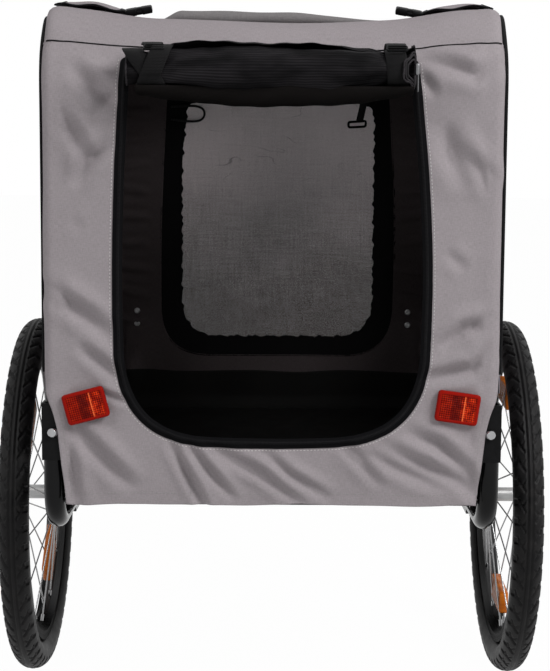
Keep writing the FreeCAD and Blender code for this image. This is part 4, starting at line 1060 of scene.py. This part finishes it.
def roof_lift(across, height):
    """The roof's own shape: a shallow dip between the bars, slow waves, and pressed lines near the rear
    seam."""
    from_middle = np.abs(height - roof_middle)
    dip = -0.0060 * (1 - rise(from_middle, 0.05, 0.21)) * (1 - rise(np.abs(across), 0.12, 0.24))
    waves = 0.0012 * np.sin(across / 0.045 + 0.7) * np.sin(height / 0.04)
    lines = -0.0010 * np.exp(-((height - seam_height(across) - 0.020) / 0.0022) ** 2)
    lines = lines - 0.0008 * np.exp(-((height - seam_height(across) - 0.034) / 0.0026) ** 2)
    seam = 0.0012 * (1 - rise(np.abs(height - seam_height(across)), 0.001, 0.006))
    edge = 1 - rise(np.abs(across), 0.235, 0.256)
    return np.maximum((dip + waves + lines) * edge + seam, -0.0065) + roof_sag(across, height)


front_seam = joined(seam_run, 2 * roof_middle - seam_top)
roof_outline = np.concatenate([seam_line[::-1], [(cover_half_width, roof_middle)], front_seam,
                               [(-cover_half_width, roof_middle)]])
roof_outline = along_line(roof_outline, 5000)[:-1]
roof_centre = (0.0, roof_middle)
roof_window = rounded_outline(box_corners(0.160, 0.175, roof_centre), 0.03)
roof_hole = inset_line(along_line(roof_window, 2000), 0.002)[:-1]
roof_flat = ring_sheet(roof_hole, roof_outline, roof_centre, 460, 44)
roof_surface = turned(spread(roof_flat, roof_lift), roof_flat)
roof = make_piece("roof_cloth", [roof_surface], [grey_cloth, dark_lining])
thicken(roof, stout_cloth)
sewn(roof, "grey_fabric", "roof_cover")

thread_run = np.linspace(-0.270, 0.270, 240)
thread_height = seam_height(thread_run)
thread_lift = np.maximum(roof_lift(thread_run, thread_height), panel_lift(thread_run, thread_height)) + 0.0006
thread_path = cover_point(thread_run, thread_height, thread_lift)
thread_ring = tube(thread_path, 0.0008, 6, (0, 0, 1))
rear_seam = make_piece("rear_seam", [(thread_ring, thread_ring[..., :2])], [binding], closed=True)
sewn(rear_seam, "black_fabric")

roof_line = along_line(roof_window, 460)
roof_mesh_flat = filled(inset_line(roof_line, -0.004), roof_centre, 26)
roof_mesh_surface = turned(spread(roof_mesh_flat, roof_lift, -0.0016), roof_mesh_flat)
roof_mesh = make_piece("roof_mesh_window", [roof_mesh_surface], [black_mesh])
sewn(roof_mesh, "black_mesh", "roof_mesh")
roof_band = band(roof_line, band_offsets, band_lifts, roof_lift)
roof_binding = make_piece("roof_window_binding", [roof_band], [binding], closed=True)
sewn(roof_binding, "black_fabric")


# Roof flaps: two strips of the grey cloth along the sides of the roof, bound in black tape. Their outer
# corners curl up a little.

flap_middle = 0.228
flap_half_width = 0.040
flap_half_length = 0.228
flap_turn_in = 0.001


def flap_lift(across, height):
    """A flap's lift: just clear of the roof, with its ends curling up by the sixth power of the distance, and
    a soft puff near its rear end, half a sine wave long and half a sine wave wide."""
    far = np.abs(height - roof_middle) / flap_half_length
    sag = roof_sag(across, height)
    puff_along = np.sin(math.pi * np.clip((height - roof_middle + 0.226) / 0.075, 0, 1))
    puff_across = np.sin(math.pi * np.clip((np.abs(across) - 0.176) / 0.104, 0, 1)) ** 0.6
    ripple = 0.0016 * np.sin(across / 0.0075) * np.clip(far, 0, 1.1) ** 8
    smooth = np.maximum(roof_lift(across, height) - sag, 0) + sag + 0.0008 * np.sin(height / 0.02)
    return smooth + 0.0028 + 0.0035 * far ** 6 + 0.0085 * puff_along * puff_across + ripple


flap_offsets = [0.0058, 0.0050, -0.0006, -0.0010, -0.0006, 0.0052]
flap_lifts = [0.0006, 0.0011, 0.0011, 0.0002, -0.0012, -0.0012]
flap_bands = []
flap_sheets = []
for hand in (-1, 1):
    flap_corners = box_corners(flap_half_width, flap_half_length, (flap_middle, 0))
    if hand < 0:
        flap_corners = flap_corners[::-1] * np.array([-1, 1])
    flap_line = along_line(rounded_outline(flap_corners + np.array([0, roof_middle]), 0.014), 420)
    width_share, length_share = np.meshgrid(np.linspace(-1, 1, 26), np.linspace(-1, 1, 110))
    rounding = 1 - 0.12 * rise(np.abs(length_share), 0.95, 1.0)
    across = hand * (flap_middle + (flap_half_width - flap_turn_in) * width_share * rounding)
    flap_flat = joined(across, roof_middle + (flap_half_length - flap_turn_in) * length_share)
    flap_sheets.append(turned(spread(flap_flat, flap_lift), flap_flat, hand))
    flap_bands.append(band(flap_line, flap_offsets, flap_lifts, flap_lift))
roof_flaps = make_piece("roof_side_flaps", flap_sheets, [grey_cloth, dark_lining])
thicken(roof_flaps, light_cloth)
sewn(roof_flaps, "grey_fabric", "roof_flaps")
flap_binding = make_piece("roof_flap_binding", flap_bands, [binding])
sewn(flap_binding, "black_fabric")


# Rolled roof cover: the flap for the roof window, rolled up behind it, in a darker copy of the grey cloth
# that is painted shade on the roll. It is a loose spiral of cloth.

def spiral_roll(across, turn, middle, core, radius, turns, start):
    """A sheet rolled up: at each place across, the point goes round the roll's middle while its distance
    grows evenly from the core to the outer radius. Turn runs from 0 to 1 from inside to outside."""
    reach = core + (radius - core) * turn
    angle = start + turns * math.tau * (turn - 1)
    return joined(across, middle[0] + reach * np.cos(angle), middle[1] + reach * np.sin(angle))


# Painted shade: the rolled cover is a darker copy of the grey cloth.
painted_shade_grey = cloth_finish("painted_shade_grey", (0.13, 0.123, 0.124), (0.22, 0.208, 0.21), 0.8, 0.6)
roof_height = 0.9068
roof_roll_half = 0.146
roof_roll_back = 0.205
roof_roll_radius = 0.0094
across, turn = np.meshgrid(np.linspace(-roof_roll_half, roof_roll_half, 110), np.linspace(0, 1, 110))
taper = 1 - 0.72 * rise(across, 0.02, 0.14) - 0.8 * rise(-across, 0.115, roof_roll_half)
ripple = 0.0006 * np.sin(across / 0.013) + 0.0007 * np.sin(across / 0.031 + 5 * turn)
sag = roof_sag(across, np.full_like(across, roof_middle - roof_roll_back))
rest_height = roof_height + sag + roof_roll_radius * taper
roll_grid = spiral_roll(across, turn, (-roof_roll_back, rest_height), 0.0018 * taper,
                        taper * (roof_roll_radius + ripple), 2.6, 0.4)
roof_roll = make_piece("rolled_roof_cover", [(roll_grid, joined(across, turn * 0.09))], [painted_shade_grey])
sewn(roof_roll, "grey_fabric", "roof_roll")


# Roof buckles: moulded side-release buckles, one at each end of the rolled cover. Each is a socket with two
# notches, through which the prongs of the other half show.

buckle_half = np.array([(-0.0170, -0.0070), (-0.0040, -0.0078), (-0.0030, -0.0052), (0.0040, -0.0052),
                        (0.0050, -0.0080), (0.0165, -0.0066)])
buckle_corners = np.concatenate([buckle_half, (buckle_half * np.array([1, -1]))[::-1]])
buckle_outline = rounded_outline(buckle_corners, 0.0009, 6, 5)
buckle_outline = np.concatenate([buckle_outline, buckle_outline[:1]])
prong_outline = along_line(rounded_outline(box_corners(0.0050, 0.0070, (0.0005, 0)), 0.003), 60)
buckle_levels = [(0.0164, 0.0), (0.0006, 0.0), (0, 0.0010), (0, 0.0062), (0.0008, 0.0078), (0.0030, 0.0084)]
prong_levels = [(0.0055, 0.0015), (0.0004, 0.0018), (0, 0.0025), (0, 0.0048), (0.0010, 0.0056)]
buckle_place = 0.168
buckle_back = 0.224
buckle_height = 0.9095
buckle_parts = []
for hand in (-1, 1):
    seat = (hand * buckle_place, -buckle_back, buckle_height)
    right = (0.985, 0.0, -hand * 0.17)
    up = (hand * 0.06, 0.955, 0.29)
    out = np.cross(right, up)
    buckle_parts.append((moulded(buckle_outline, buckle_levels, seat, right, up, out), no_map))
    buckle_parts.append((moulded(prong_outline, prong_levels, seat, right, up, out), no_map))
roof_buckles = make_piece("side_release_buckles", buckle_parts, [moulded_black], closed=True)
sewn(roof_buckles, "black_plastic", "roof_buckles")


# Front panel: as the rear one, with a zipped window. Seen through the doorway it shows its dark coating,
# which has fine creases, and the black band round the window mesh.

front_creases = []
crease_places = np.random.default_rng(7)
for hand in (-1, 1):
    for crease_height in np.linspace(0.46, 0.80, 9):
        begin = hand * (0.206 + 0.012 * crease_places.random())
        finish = hand * (0.238 + 0.020 * crease_places.random())
        tilt = 0.014 * (crease_places.random() - 0.5)
        front_creases.append((0.0022, 0.0045, [(begin, crease_height), (finish, crease_height + tilt)]))


def front_lift(across, height):
    """The front panel's own shape, with the height from its hem: slow waves and short level creases."""
    waves = 0.0016 * np.sin(across / 0.055 + 0.4) * np.sin(height / 0.07 + 1.0)
    waves = waves + 0.0008 * np.sin(height / 0.029)
    edge = rise(np.abs(across), 0.240, 0.256)
    lift = (waves + crease_lift(across, height, front_creases)) * (1 - 0.7 * edge)
    return np.maximum(lift, -0.003 + 0.0027 * edge) + roof_sag(across, height) + bracket_lift(across, height)


def front_point(across, height, lift):
    """A point of the front panel, with the height from its own hem."""
    return cover_point(across, 2 * roof_middle - height, lift)


front_top = np.array([(cover_half_width, seam_top), (-cover_half_width, seam_top)])
front_outline = np.concatenate([hem_line, right_edge, front_top, left_edge])
front_outline = along_line(front_outline, 5000)[:-1]
zip_corners = [(-0.171, 0.842), (-0.182, 0.62), (-0.182, 0.4045), (0.196, 0.4045), (0.199, 0.62),
               (0.186, 0.842)]
front_zip = rounded_outline(zip_corners, [0.02, 0.1, 0.08, 0.08, 0.1, 0.02])
front_flat = ring_sheet(front_zip, front_outline, panel_middle, 520, 48)
front_grid = spread(front_flat, front_lift, 0.0, front_point)
front_panel = make_piece("front_cloth_panel", [(front_grid, front_flat)], [grey_cloth, dark_lining])
thicken(front_panel, stout_cloth)
sewn(front_panel, "grey_fabric", "front_panel")


# Front window: grey mesh in a black cloth band, zipped into the front panel. The band's inner edge is
# cut by hand and a little ragged.

def ragged(line, depth):
    """Move each point of a closed line in or out by a sum of waves, so that it looks cut by hand."""
    place = np.linspace(0, math.tau, len(line))[:-1]
    waves = np.sin(47 * place) + 0.7 * np.sin(89 * place + 1)
    waves = waves + 0.6 * np.sin(131 * place + 2) * np.sin(5 * place)
    inward = inset_line(line, 1.0)[:-1] - line[:-1]
    moved = line[:-1] + inward * (depth * waves)[:, None]
    return np.concatenate([moved, moved[:1]])


def window_lift(across, height):
    """The lift of what is sewn into the window: the panel's own where that is outwards, else none."""
    return np.maximum(front_lift(across, height), 0)


mesh_edge = rounded_outline([(-0.1375, 0.815), (-0.1475, 0.725), (-0.1475, 0.4356), (0.1635, 0.4356),
                             (0.1635, 0.815)], [0.012, 0.03, 0.062, 0.062, 0.03])
mesh_edge = ragged(along_line(mesh_edge, 1400), 0.0011)
band_outer = inset_line(along_line(front_zip, 2400), -0.003)[:-1]
front_band_flat = ring_sheet(mesh_edge[:-1], band_outer, (0.0, 0.62), 900, 16)
front_band_grid = spread(front_band_flat, window_lift, -0.0004, front_point)
front_band = make_piece("front_window_band", [(front_band_grid, front_band_flat)], [black_cloth])
thicken(front_band, thin_cloth, 0)
sewn(front_band, "black_fabric")

grey_mesh = mesh_finish("grey_mesh", (0.045, 0.030, 0.029), (0.60, 0.51, 0.525), 0.00125, 0.040)
across, height = np.meshgrid(np.linspace(-0.1545, 0.1705, 110), np.linspace(0.4290, 0.8215, 130))
front_mesh_flat = joined(across, height)
front_mesh_surface = turned(spread(front_mesh_flat, window_lift, 0.0008, front_point), front_mesh_flat)
front_mesh = make_piece("front_window_mesh", [front_mesh_surface], [grey_mesh])
sewn(front_mesh, "black_mesh", "front_mesh_window")

zip_count = 800
zip_offsets = np.array(tape_offsets) - 0.008
front_zip_line = along_line(front_zip, zip_count)
front_zip_grid = band(front_zip_line, zip_offsets, tape_lifts, window_lift, front_point)[0]
front_tape = make_piece("front_zip", [turned(front_zip_grid, tape_flat[:zip_count])], [zip_tape])
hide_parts("door_zips")
for tape in (doorway_zip, front_tape):
    sewn(tape, "black_fabric")


# Press studs: nickel-plated caps, two at each side of the front window, one above the other. Each has a
# rounded rim and a shallow dish in the middle.

stud_turn = np.linspace(0, math.tau, 33)
stud_radius = 0.005
stud_outline = stud_radius * joined(np.cos(stud_turn), np.sin(stud_turn))
stud_levels = [(stud_radius, 0.0), (0.0003, 0.0), (0, 0.0004), (0.0004, 0.0011), (0.0014, 0.0015),
               (0.0026, 0.0013)]
stud_place = 0.222
stud_depth = 0.3491
stud_caps = []
for hand in (-1, 1):
    for stud_height in (0.476, 0.455):
        stud_lift = float(front_lift(np.array([hand * stud_place]), np.array([stud_height]))[0])
        seat = (hand * stud_place, stud_depth + stud_lift, stud_height)
        cap = moulded(stud_outline, stud_levels, seat, (1, 0, 0), (0, 0, 1), (0, -1, 0))
        stud_caps.append((cap, no_map))
stud_nickel = clouded("stud_nickel", (0.2, 0.2, 0.21), 0.35, 1.0, (500.0, 2.0),
                      ((0.16, 0.16, 0.165), (0.46, 0.46, 0.465)))
studs = make_piece("press_stud_caps", stud_caps, [stud_nickel], closed=True)
sewn(studs, "silver_steel", "press_studs")


# Door: the rear doorway's black cover, rolled up and hung from the head of the doorway. The spiral is fat in
# the middle, sags there, and is pinched by its two straps.

roll_place = (-0.3769, 0.836)
roll_half = 0.170
strap_place = 0.142
roll_end = 0.162
roll_turns = 4.5


def roll_radius(across):
    """The roll's radius: a bulge between the straps that falls with a power of a cosine, a pinch at the
    straps, and slightly slack ends."""
    from_middle = np.abs(across)
    bulge = 0.0132 * np.cos(np.clip(from_middle / strap_place, 0, 1) * quarter) ** 0.55
    slack = np.where(across > 0, 0.0072, 0.0025) * rise(from_middle, strap_place + 0.004, roll_half)
    return 0.0176 + bulge + slack


def door_roll_point(across, turn):
    """The rolled door: a spiral of four and a half turns that ripples across, with folds that fan out from
    the straps. Its right end bends out of the line by a smooth step and turns its section with it."""
    ripple = 0.0016 * np.sin(across / 0.021 + 12 * turn) + 0.0006 * np.sin(across / 0.0053 + 31 * turn)
    lap = turn * math.tau * roll_turns
    from_strap = np.abs(np.abs(across) - strap_place)
    fan = np.exp(-(from_strap / 0.050) ** 2) * rise(from_strap, 0.008, 0.024)
    folds = 0.0032 * fan * np.sin(lap * 6 + 2.2 * np.sin(across / 0.02))
    folds = folds + 0.0020 * np.sin(lap * 3 + 1.8 * np.sin(across / 0.06 + 0.5))
    ribs = 0.0003 * np.sin(lap * 26)
    radius = roll_radius(across) + (ripple + folds + ribs) * turn
    points = spiral_roll(across, turn, roll_place, 0.005, radius, roll_turns, 0.55 * math.pi)
    below = np.clip((roll_place[1] - points[..., 2]) / 0.029, 0, 1.2)
    droop = 0.0045 * np.cos(np.clip(np.abs(across) / strap_place, 0, 1) * quarter) ** 1.2
    points[..., 2] -= droop * rise(turn, 0.5, 0.95) * below ** 1.5
    bend = rise(across, strap_place - 0.012, roll_half + 0.014)
    behind = points[..., 1] - roll_place[0]
    points[..., 0] += bend * np.where(behind < 0, 1.05, 0.3) * behind
    points[..., 1] += -0.009 * bend - 0.1 * bend * behind
    return points


door_cloth = Finish("door_cloth", (0.008, 0.008, 0.0085), 0.62, Specular_IOR_Level=0.05)
door_flat = door_cloth.place("UV")
door_along = door_cloth.split(door_flat)[1]
door_ribs = door_along.ribs(0.0034)
# Painted sheen: slow patches of the door cloth are painted lighter, most of all on the rib crests.
door_painted_sheen = door_cloth.noise(door_flat, 26.0, 3.0, (0.5, 1.6, 1)).step(0.36, 0.68)
door_cloth.tint((0.25 + door_ribs * 0.75) * door_painted_sheen, (0.0022, 0.0020, 0.0024), (0.0150, 0.0136, 0.0152))
door_cloth.bump(door_ribs, 0.0003)

across, turn = np.meshgrid(np.linspace(-roll_half, roll_end, 160), np.linspace(0, 1, 560))
door_grid = door_roll_point(across, turn)
door_roll = make_piece("rolled_door", [(door_grid, joined(across, turn ** 2 * 0.46))], [door_cloth])
sewn(door_roll, "black_fabric", "rear_door_roll")

edge_turn = np.linspace(0.3, 1, 400)
edge_rings = [tube(door_roll_point(np.full_like(edge_turn, end), edge_turn), 0.0012, 6, (1, 0, 0))
              for end in (-roll_half, roll_end)]
worn_binding = cloth_finish("worn_binding", (0.012, 0.011, 0.012), (0.036, 0.033, 0.036), 0.66, 0.3)
edge_surfaces = [(ring, ring[..., 1:]) for ring in edge_rings]
door_edges = make_piece("door_edge_binding", edge_surfaces, [worn_binding], closed=True)
sewn(door_edges, "black_fabric")

# Painted shade: the fold under the rolled door is a much darker copy of the lining, for the shade beneath the
# roll.
painted_shade_lining = cloth_finish("painted_shade_lining", (0.0014, 0.0010, 0.0009), (0.0034, 0.0025, 0.0023), 0.7, 0.7)
across, swing = np.meshgrid(np.linspace(-0.160, roll_end, 150), np.linspace(math.pi, 2 * math.pi, 30))
fold_waves = 0.0006 * np.sin(across / 0.019) + 0.0004 * np.sin(across / 0.0061)
fold_foot = 0.793 + 0.014 * (np.abs(across) / roll_end) ** 2.2 + fold_waves
fold_top = 0.816
fold_reach = 0.0165 * (1 + 0.05 * np.sin(across / 0.012 + 2 * swing))
fold_y = roll_place[0] + 0.002 + fold_reach * np.cos(swing)
fold_z = fold_top - (fold_top - fold_foot) * np.abs(np.sin(swing)) ** 0.8
fold_grid = joined(across, fold_y, fold_z)
door_fold = make_piece("door_fold", [(fold_grid, joined(across, swing * 0.025))], [painted_shade_lining])
thicken(door_fold, thin_cloth, 0)
sewn(door_fold, "black_fabric")

across, fall = np.meshgrid(np.linspace(-0.168, 0.164, 120), np.linspace(0, 1, 16))
head_top = 0.8575
head_height = head_top - 0.010 * rise(np.abs(across), 0.100, strap_place)
head_line = cover_point(across, head_height, panel_lift(across, head_height) + 0.002)
roll_top = door_roll_point(across, np.ones_like(across))
head_grid = head_line * (1 - fall[..., None]) + roll_top * fall[..., None]
head_crown = 0.004
head_grid[..., 2] += (head_crown - 0.0006 * np.sin(across / 0.013)) * np.sin(fall * math.pi)
door_head = make_piece("door_head", [turned(head_grid, joined(across, fall * 0.05))], [door_cloth])
thicken(door_head, thin_cloth, 0)
sewn(door_head, "black_fabric")


# Roll straps: two lengths of black webbing round the rolled door, from the seam above it, each drawn tight by
# a ladder-lock buckle of moulded plastic. The left one is wound round twice, on a slant.

webbing = Finish("black_webbing", (0.012, 0.012, 0.012), 0.6, Specular_IOR_Level=0.08)
web_along, web_across = webbing.split(webbing.place("UV"))[:2]
web_sway = (web_across * (math.tau / 0.0045)).sine() * 0.9
web_ribs = (web_along * (math.tau / 0.0016) + web_sway).sine() * 0.5 + 0.5
webbing.tint(web_ribs, (0.003, 0.003, 0.003), (0.0095, 0.009, 0.0098))
webbing.feed("Roughness", 0.5 + web_ribs * 0.2)
webbing.bump(web_ribs, 0.0005)


def closed_ring(path, out, half_width, half_height):
    """An oval profile carried along a closed path whose last point repeats its first: at every point,
    half width·cos·side + half height·sin·out, where side is square to the path and to out."""
    wrapped = np.concatenate([path[-3:-1], path, path[1:3]])
    run = np.gradient(wrapped, axis=0)[2:-2]
    side = np.cross(unit(run), out)
    turn = np.linspace(0, math.tau, 13)[None, :, None]
    return path[:, None] + half_width * np.cos(turn) * side[:, None] + half_height * np.sin(turn) * out


strap_profile = [(-0.0118, 0.0), (-0.0122, 0.0008), (-0.0114, 0.0016), (0.0, 0.0018), (0.0114, 0.0016),
                 (0.0122, 0.0008), (0.0118, 0.0), (0.0, -0.0001), (-0.0118, 0.0)]
strap_across, strap_off = np.array(strap_profile).T[:, None]
lock_reach = 0.0262
tail_height = 0.861
tail_lift = 0.0035
strap_loops = []
lock_bodies = []
for hand in (-1, 1):
    strap_x = hand * strap_place
    angle = np.linspace(0, math.tau, 91)[:, None]
    winds = [(-0.007, 0.015, 0.0014), (0.004, -0.010, 0.0034)] if hand < 0 else [(0.0, 0.002, 0.0014)]
    for shift, slant, off in winds:
        middle = strap_x + shift - slant * np.sin(angle)
        reach = roll_radius(middle) + off + strap_off
        strap_y = roll_place[0] + reach * np.cos(angle)
        strap_z = roll_place[1] + reach * np.sin(angle)
        strap_loop = joined(middle + strap_across, strap_y, strap_z)
        strap_loops.append((strap_loop, joined(angle * 0.024, strap_across)))
    tail_share = np.linspace(0, 1, 16)[:, None]
    tail_top = cover_point(np.array([strap_x]), np.array([tail_height]), np.array([tail_lift]))[0]
    tail_y = tail_top[1] * (1 - tail_share) + (roll_place[0] + 0.004) * tail_share
    tail_z = tail_top[2] * (1 - tail_share) + (roll_place[1] + lock_reach) * tail_share
    tail_z = tail_z + 0.004 * np.sin(tail_share * math.pi)
    tail = joined(strap_x + strap_across, tail_y, tail_z + strap_off)
    strap_loops.append((tail, joined(tail_share * 0.04, strap_across)))
    lock_angle = math.radians(118)
    lock_out = np.array([0, math.cos(lock_angle), math.sin(lock_angle)])
    lock_up = np.array([0, math.sin(lock_angle), -math.cos(lock_angle)])
    lock_seat = np.array([strap_x + (0.004 if hand < 0 else 0), *roll_place]) + lock_out * lock_reach
    lock_ring = along_line(rounded_outline(box_corners(0.0116, 0.0056), 0.0025), 90)
    ring_path = lock_seat + lock_ring[:, :1] * np.array([1, 0, 0]) + lock_ring[:, 1:] * lock_up
    lock_bodies.append((closed_ring(ring_path, lock_out, 0.0011, 0.0015), no_map))
    bar_run = np.linspace(-0.0112, 0.0112, 12)[:, None] * np.array([1, 0, 0])
    bar_path = lock_seat + bar_run + lock_out * 0.0006
    lock_bodies.append((tube(bar_path, 0.0010, 10, lock_out), no_map))
straps = make_piece("roll_webbing", strap_loops, [webbing], closed=True)
sewn(straps, "black_fabric", "roll_straps")
ladder_locks = make_piece("ladder_locks", lock_bodies, [moulded_black], closed=True)
sewn(ladder_locks, "black_plastic", "roll_buckles")


# Zip slider: a die-cast slider at the right end of the rolled door, with a flat pull that hangs from its
# bridge. Both are nickel plated.

slider_corners = [(-0.0044, -0.0068), (0.0044, -0.0068), (0.0034, 0.0068), (-0.0034, 0.0068)]
slider_outline = along_line(rounded_outline(slider_corners, 0.002), 60)
slider_levels = [(0.0044, 0.0), (0.0004, 0.0), (0, 0.0006), (0, 0.0034), (0.0008, 0.0044), (0.0026, 0.0056)]
pull_corners = [(-0.0030, -0.0105), (0.0030, -0.0105), (0.0024, 0.0105), (-0.0024, 0.0105)]
pull_outline = along_line(rounded_outline(pull_corners, 0.0014), 60)
pull_levels = [(0.0030, 0.0), (0.0003, 0.0), (0, 0.0003), (0, 0.0011), (0.0004, 0.0015), (0.0012, 0.0012)]
slider_seat = (0.1640, -0.3829, 0.836)
pull_seat = (0.1664, -0.3829, 0.8205)
slider_axes = ((0, 1, 0), (0, 0, 1), (1, 0, 0))
slider_parts = [(moulded(slider_outline, slider_levels, slider_seat, *slider_axes), no_map),
                (moulded(pull_outline, pull_levels, pull_seat, *slider_axes), no_map)]
slider_nickel = clouded("slider_nickel", (0.16, 0.16, 0.17), 0.3, 1.0, (400.0, 3.0),
                        ((0.1, 0.1, 0.105), (0.22, 0.22, 0.225)))
slider = make_piece("door_zip_slider", slider_parts, [slider_nickel], closed=True)
sewn(slider, "silver_steel", "zip_slider")


# Rear reflectors: red lenses on the panel's lower corners, each a moulded plate with a raised rim and a field
# of prisms. The prisms' facets are painted light and dark, painted shade darkens the field along its middle,
# and painted highlights light a thin line and patches that are brighter to the right.

red_lens = Finish("red_lens", (0.36, 0.015, 0.01), 0.2, Specular_IOR_Level=0.03)
lens_flat = red_lens.place("UV")
lens_across, lens_up = red_lens.split(lens_flat)[:2]
prisms = crossed_waves(lens_across, lens_up, 0.0052)
rim_share = lens_across.size().step(0.0208, 0.0222).most(lens_up.size().step(0.0142, 0.0156))
# Painted shade along the field's middle, and painted highlights: a thin line and patches that are brighter to
# the right.
painted_shade_band = 1 - (lens_across + 0.002).size().step(0.004, 0.0075)
painted_highlight_line = (1 - (lens_across - 0.0075).size().step(0.0004, 0.0011)) * (1 - rim_share)
lens_cloud = red_lens.noise(lens_flat, 130.0).step(0.42, 0.62)
lens_painted_highlight = lens_cloud * (0.35 + lens_across.step(-0.012, 0.012))
# Painted light and shade: the prisms' crests are tinted bright and their hollows deep.
lens_colour = red_lens.blend(prisms, (0.045, 0.0012, 0.0012, 1), (0.34, 0.011, 0.003, 1))
lens_colour = red_lens.blend(lens_painted_highlight * prisms * 0.5, lens_colour, (0.95, 0.06, 0.010, 1))
lens_colour = red_lens.blend(painted_shade_band * 0.7, lens_colour, (0.055, 0.002, 0.002, 1))
lens_colour = red_lens.blend(rim_share, lens_colour, (0.24, 0.006, 0.003, 1))
lens_colour = red_lens.blend(painted_highlight_line * 0.7, lens_colour, (0.95, 0.17, 0.05, 1))
red_lens.feed("Base Color", lens_colour)
red_lens.feed("Roughness", 0.12 + prisms * 0.12)
red_lens.bump(prisms * (1 - rim_share), 0.0008)
lens_outline = along_line(rounded_outline(box_corners(0.026, 0.019), 0.005), 120)
lens_levels = [(0.0188, 0.0), (0.0010, 0.0), (0.0002, 0.0008), (0, 0.0050), (0.0006, 0.0068),
               (0.0020, 0.0079), (0.0036, 0.0080), (0.0044, 0.0072), (0.0052, 0.0070), (0.0100, 0.0074),
               (0.0150, 0.0077)]
lens_place = 0.224
lens_back = 0.3518
lens_height = 0.435
lenses = []
for hand, lean in ((-1, 15.0), (1, -8.0)):
    lean = math.radians(lean)
    right = (math.cos(lean), 0, math.sin(lean))
    up = (-math.sin(lean), 0, math.cos(lean))
    seat = np.array([hand * lens_place, -lens_back, lens_height])
    shape = moulded(lens_outline, lens_levels, seat, right, up, (0, -1, 0))
    local = shape - seat
    lenses.append((shape, joined(local @ np.array(right), local @ np.array(up))))
reflectors = make_piece("red_reflectors", lenses, [red_lens], closed=True)
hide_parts("rear_reflectors")


# Cord loop: a short thin cord of braided black thread, sewn into the head of the front panel at the left. It
# hangs as a loop.

def spline_points(name, knots, order=3):
    """The points of a smooth curve that has the knots as its control points."""
    curve = bpy.data.curves.new(name, "CURVE")
    curve.dimensions = "3D"
    curve.resolution_u = 16
    spline = curve.splines.new("NURBS")
    spline.points.add(len(knots) - 1)
    spline.points.foreach_set("co", np.concatenate([knots, np.ones((len(knots), 1))], -1).ravel())
    spline.order_u = order
    spline.use_endpoint_u = True
    holder = bpy.data.objects.new(name, curve)
    bpy.context.collection.objects.link(holder)
    bpy.context.view_layer.update()
    line = bpy.data.meshes.new_from_object(holder)
    places = np.zeros(len(line.vertices) * 3)
    line.vertices.foreach_get("co", places)
    bpy.data.objects.remove(holder)
    bpy.data.curves.remove(curve)
    bpy.data.meshes.remove(line)
    return places.reshape(-1, 3)


cord_black = Finish("black_cord", (0.012, 0.012, 0.012), 0.62, Specular_IOR_Level=0.12)
cord_along, cord_round = cord_black.split(cord_black.place("UV"))[:2]
braid = (cord_along * (math.tau / 0.0022) + cord_round * math.tau).sine() * 0.5 + 0.5
cord_black.tint(braid, (0.008, 0.008, 0.008), (0.025, 0.025, 0.026))
cord_black.bump(braid, 0.0003)
loop_knots = np.array([(-0.166, 0.3451, 0.808), (-0.146, 0.3446, 0.8092), (-0.122, 0.3440, 0.8092),
                       (-0.1115, 0.3438, 0.803), (-0.1115, 0.3438, 0.791), (-0.121, 0.3440, 0.7842),
                       (-0.146, 0.3446, 0.7846), (-0.166, 0.3451, 0.788)])
loop_path = spline_points("loop_route", loop_knots)
loop_radius = 0.0019
loop_map_length = 0.118
loop_facets = 10
loop_ring = tube(loop_path, loop_radius, loop_facets, (0, 1, 0))
loop_walk = np.linspace(0, loop_map_length, len(loop_ring))[:, None]
loop_flat = joined(loop_walk, np.linspace(0, 1, loop_facets + 1))
cord_loop = make_piece("cord_loop", [(loop_ring, loop_flat)], [cord_black], closed=True)
sewn(cord_loop, "black_fabric", "hanging_loop")


# Tether: a short webbing strap that hangs from the front top bar, with a clip of black plastic at its end for
# a collar.

tether_knots = np.array([(0.142, 0.215, 0.862), (0.1418, 0.2148, 0.840), (0.1385, 0.2155, 0.812),
                         (0.1325, 0.215, 0.786)])
tether_path = spline_points("tether_route", tether_knots)
tether_profile = np.array([(-0.0054, 0.0008, 0), (0.0054, 0.0008, 0), (0.0056, 0, 0), (0.0054, -0.0008, 0),
                           (-0.0054, -0.0008, 0), (-0.0056, 0, 0), (-0.0054, 0.0008, 0)])
tether_grid = tether_path[:, None] + tether_profile
tether_cap = np.broadcast_to(tether_path[:1, None], tether_grid[:1].shape)
tether_tip = np.broadcast_to(tether_path[-1:, None], tether_grid[:1].shape)
tether_grid = np.concatenate([tether_cap, tether_grid, tether_tip])
tether_flat = joined(tether_grid[..., 2], tether_grid[..., 0])
tether = make_piece("tether_webbing", [(tether_grid, tether_flat)], [webbing], "roof_bars", closed=True)
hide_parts("tether_strap")
clip_radius = 0.0019
clip_corners = [(0.1155, 0.7750), (0.1415, 0.7765), (0.1420, 0.7850), (0.1150, 0.7830)]
clip_line = along_line(rounded_outline(clip_corners, 0.0030), 90)
clip_depth = 0.215
clip_path = joined(clip_line[:, 0], clip_depth, clip_line[:, 1])
clip_ring = closed_ring(clip_path, np.array([0, 1, 0]), clip_radius, clip_radius)
clip = make_piece("snap_clip", [(clip_ring, no_map)], [moulded_black], "roof_bars", closed=True)
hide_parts("tether_clip")
for hanging in (tether, clip):
    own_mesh(hanging)
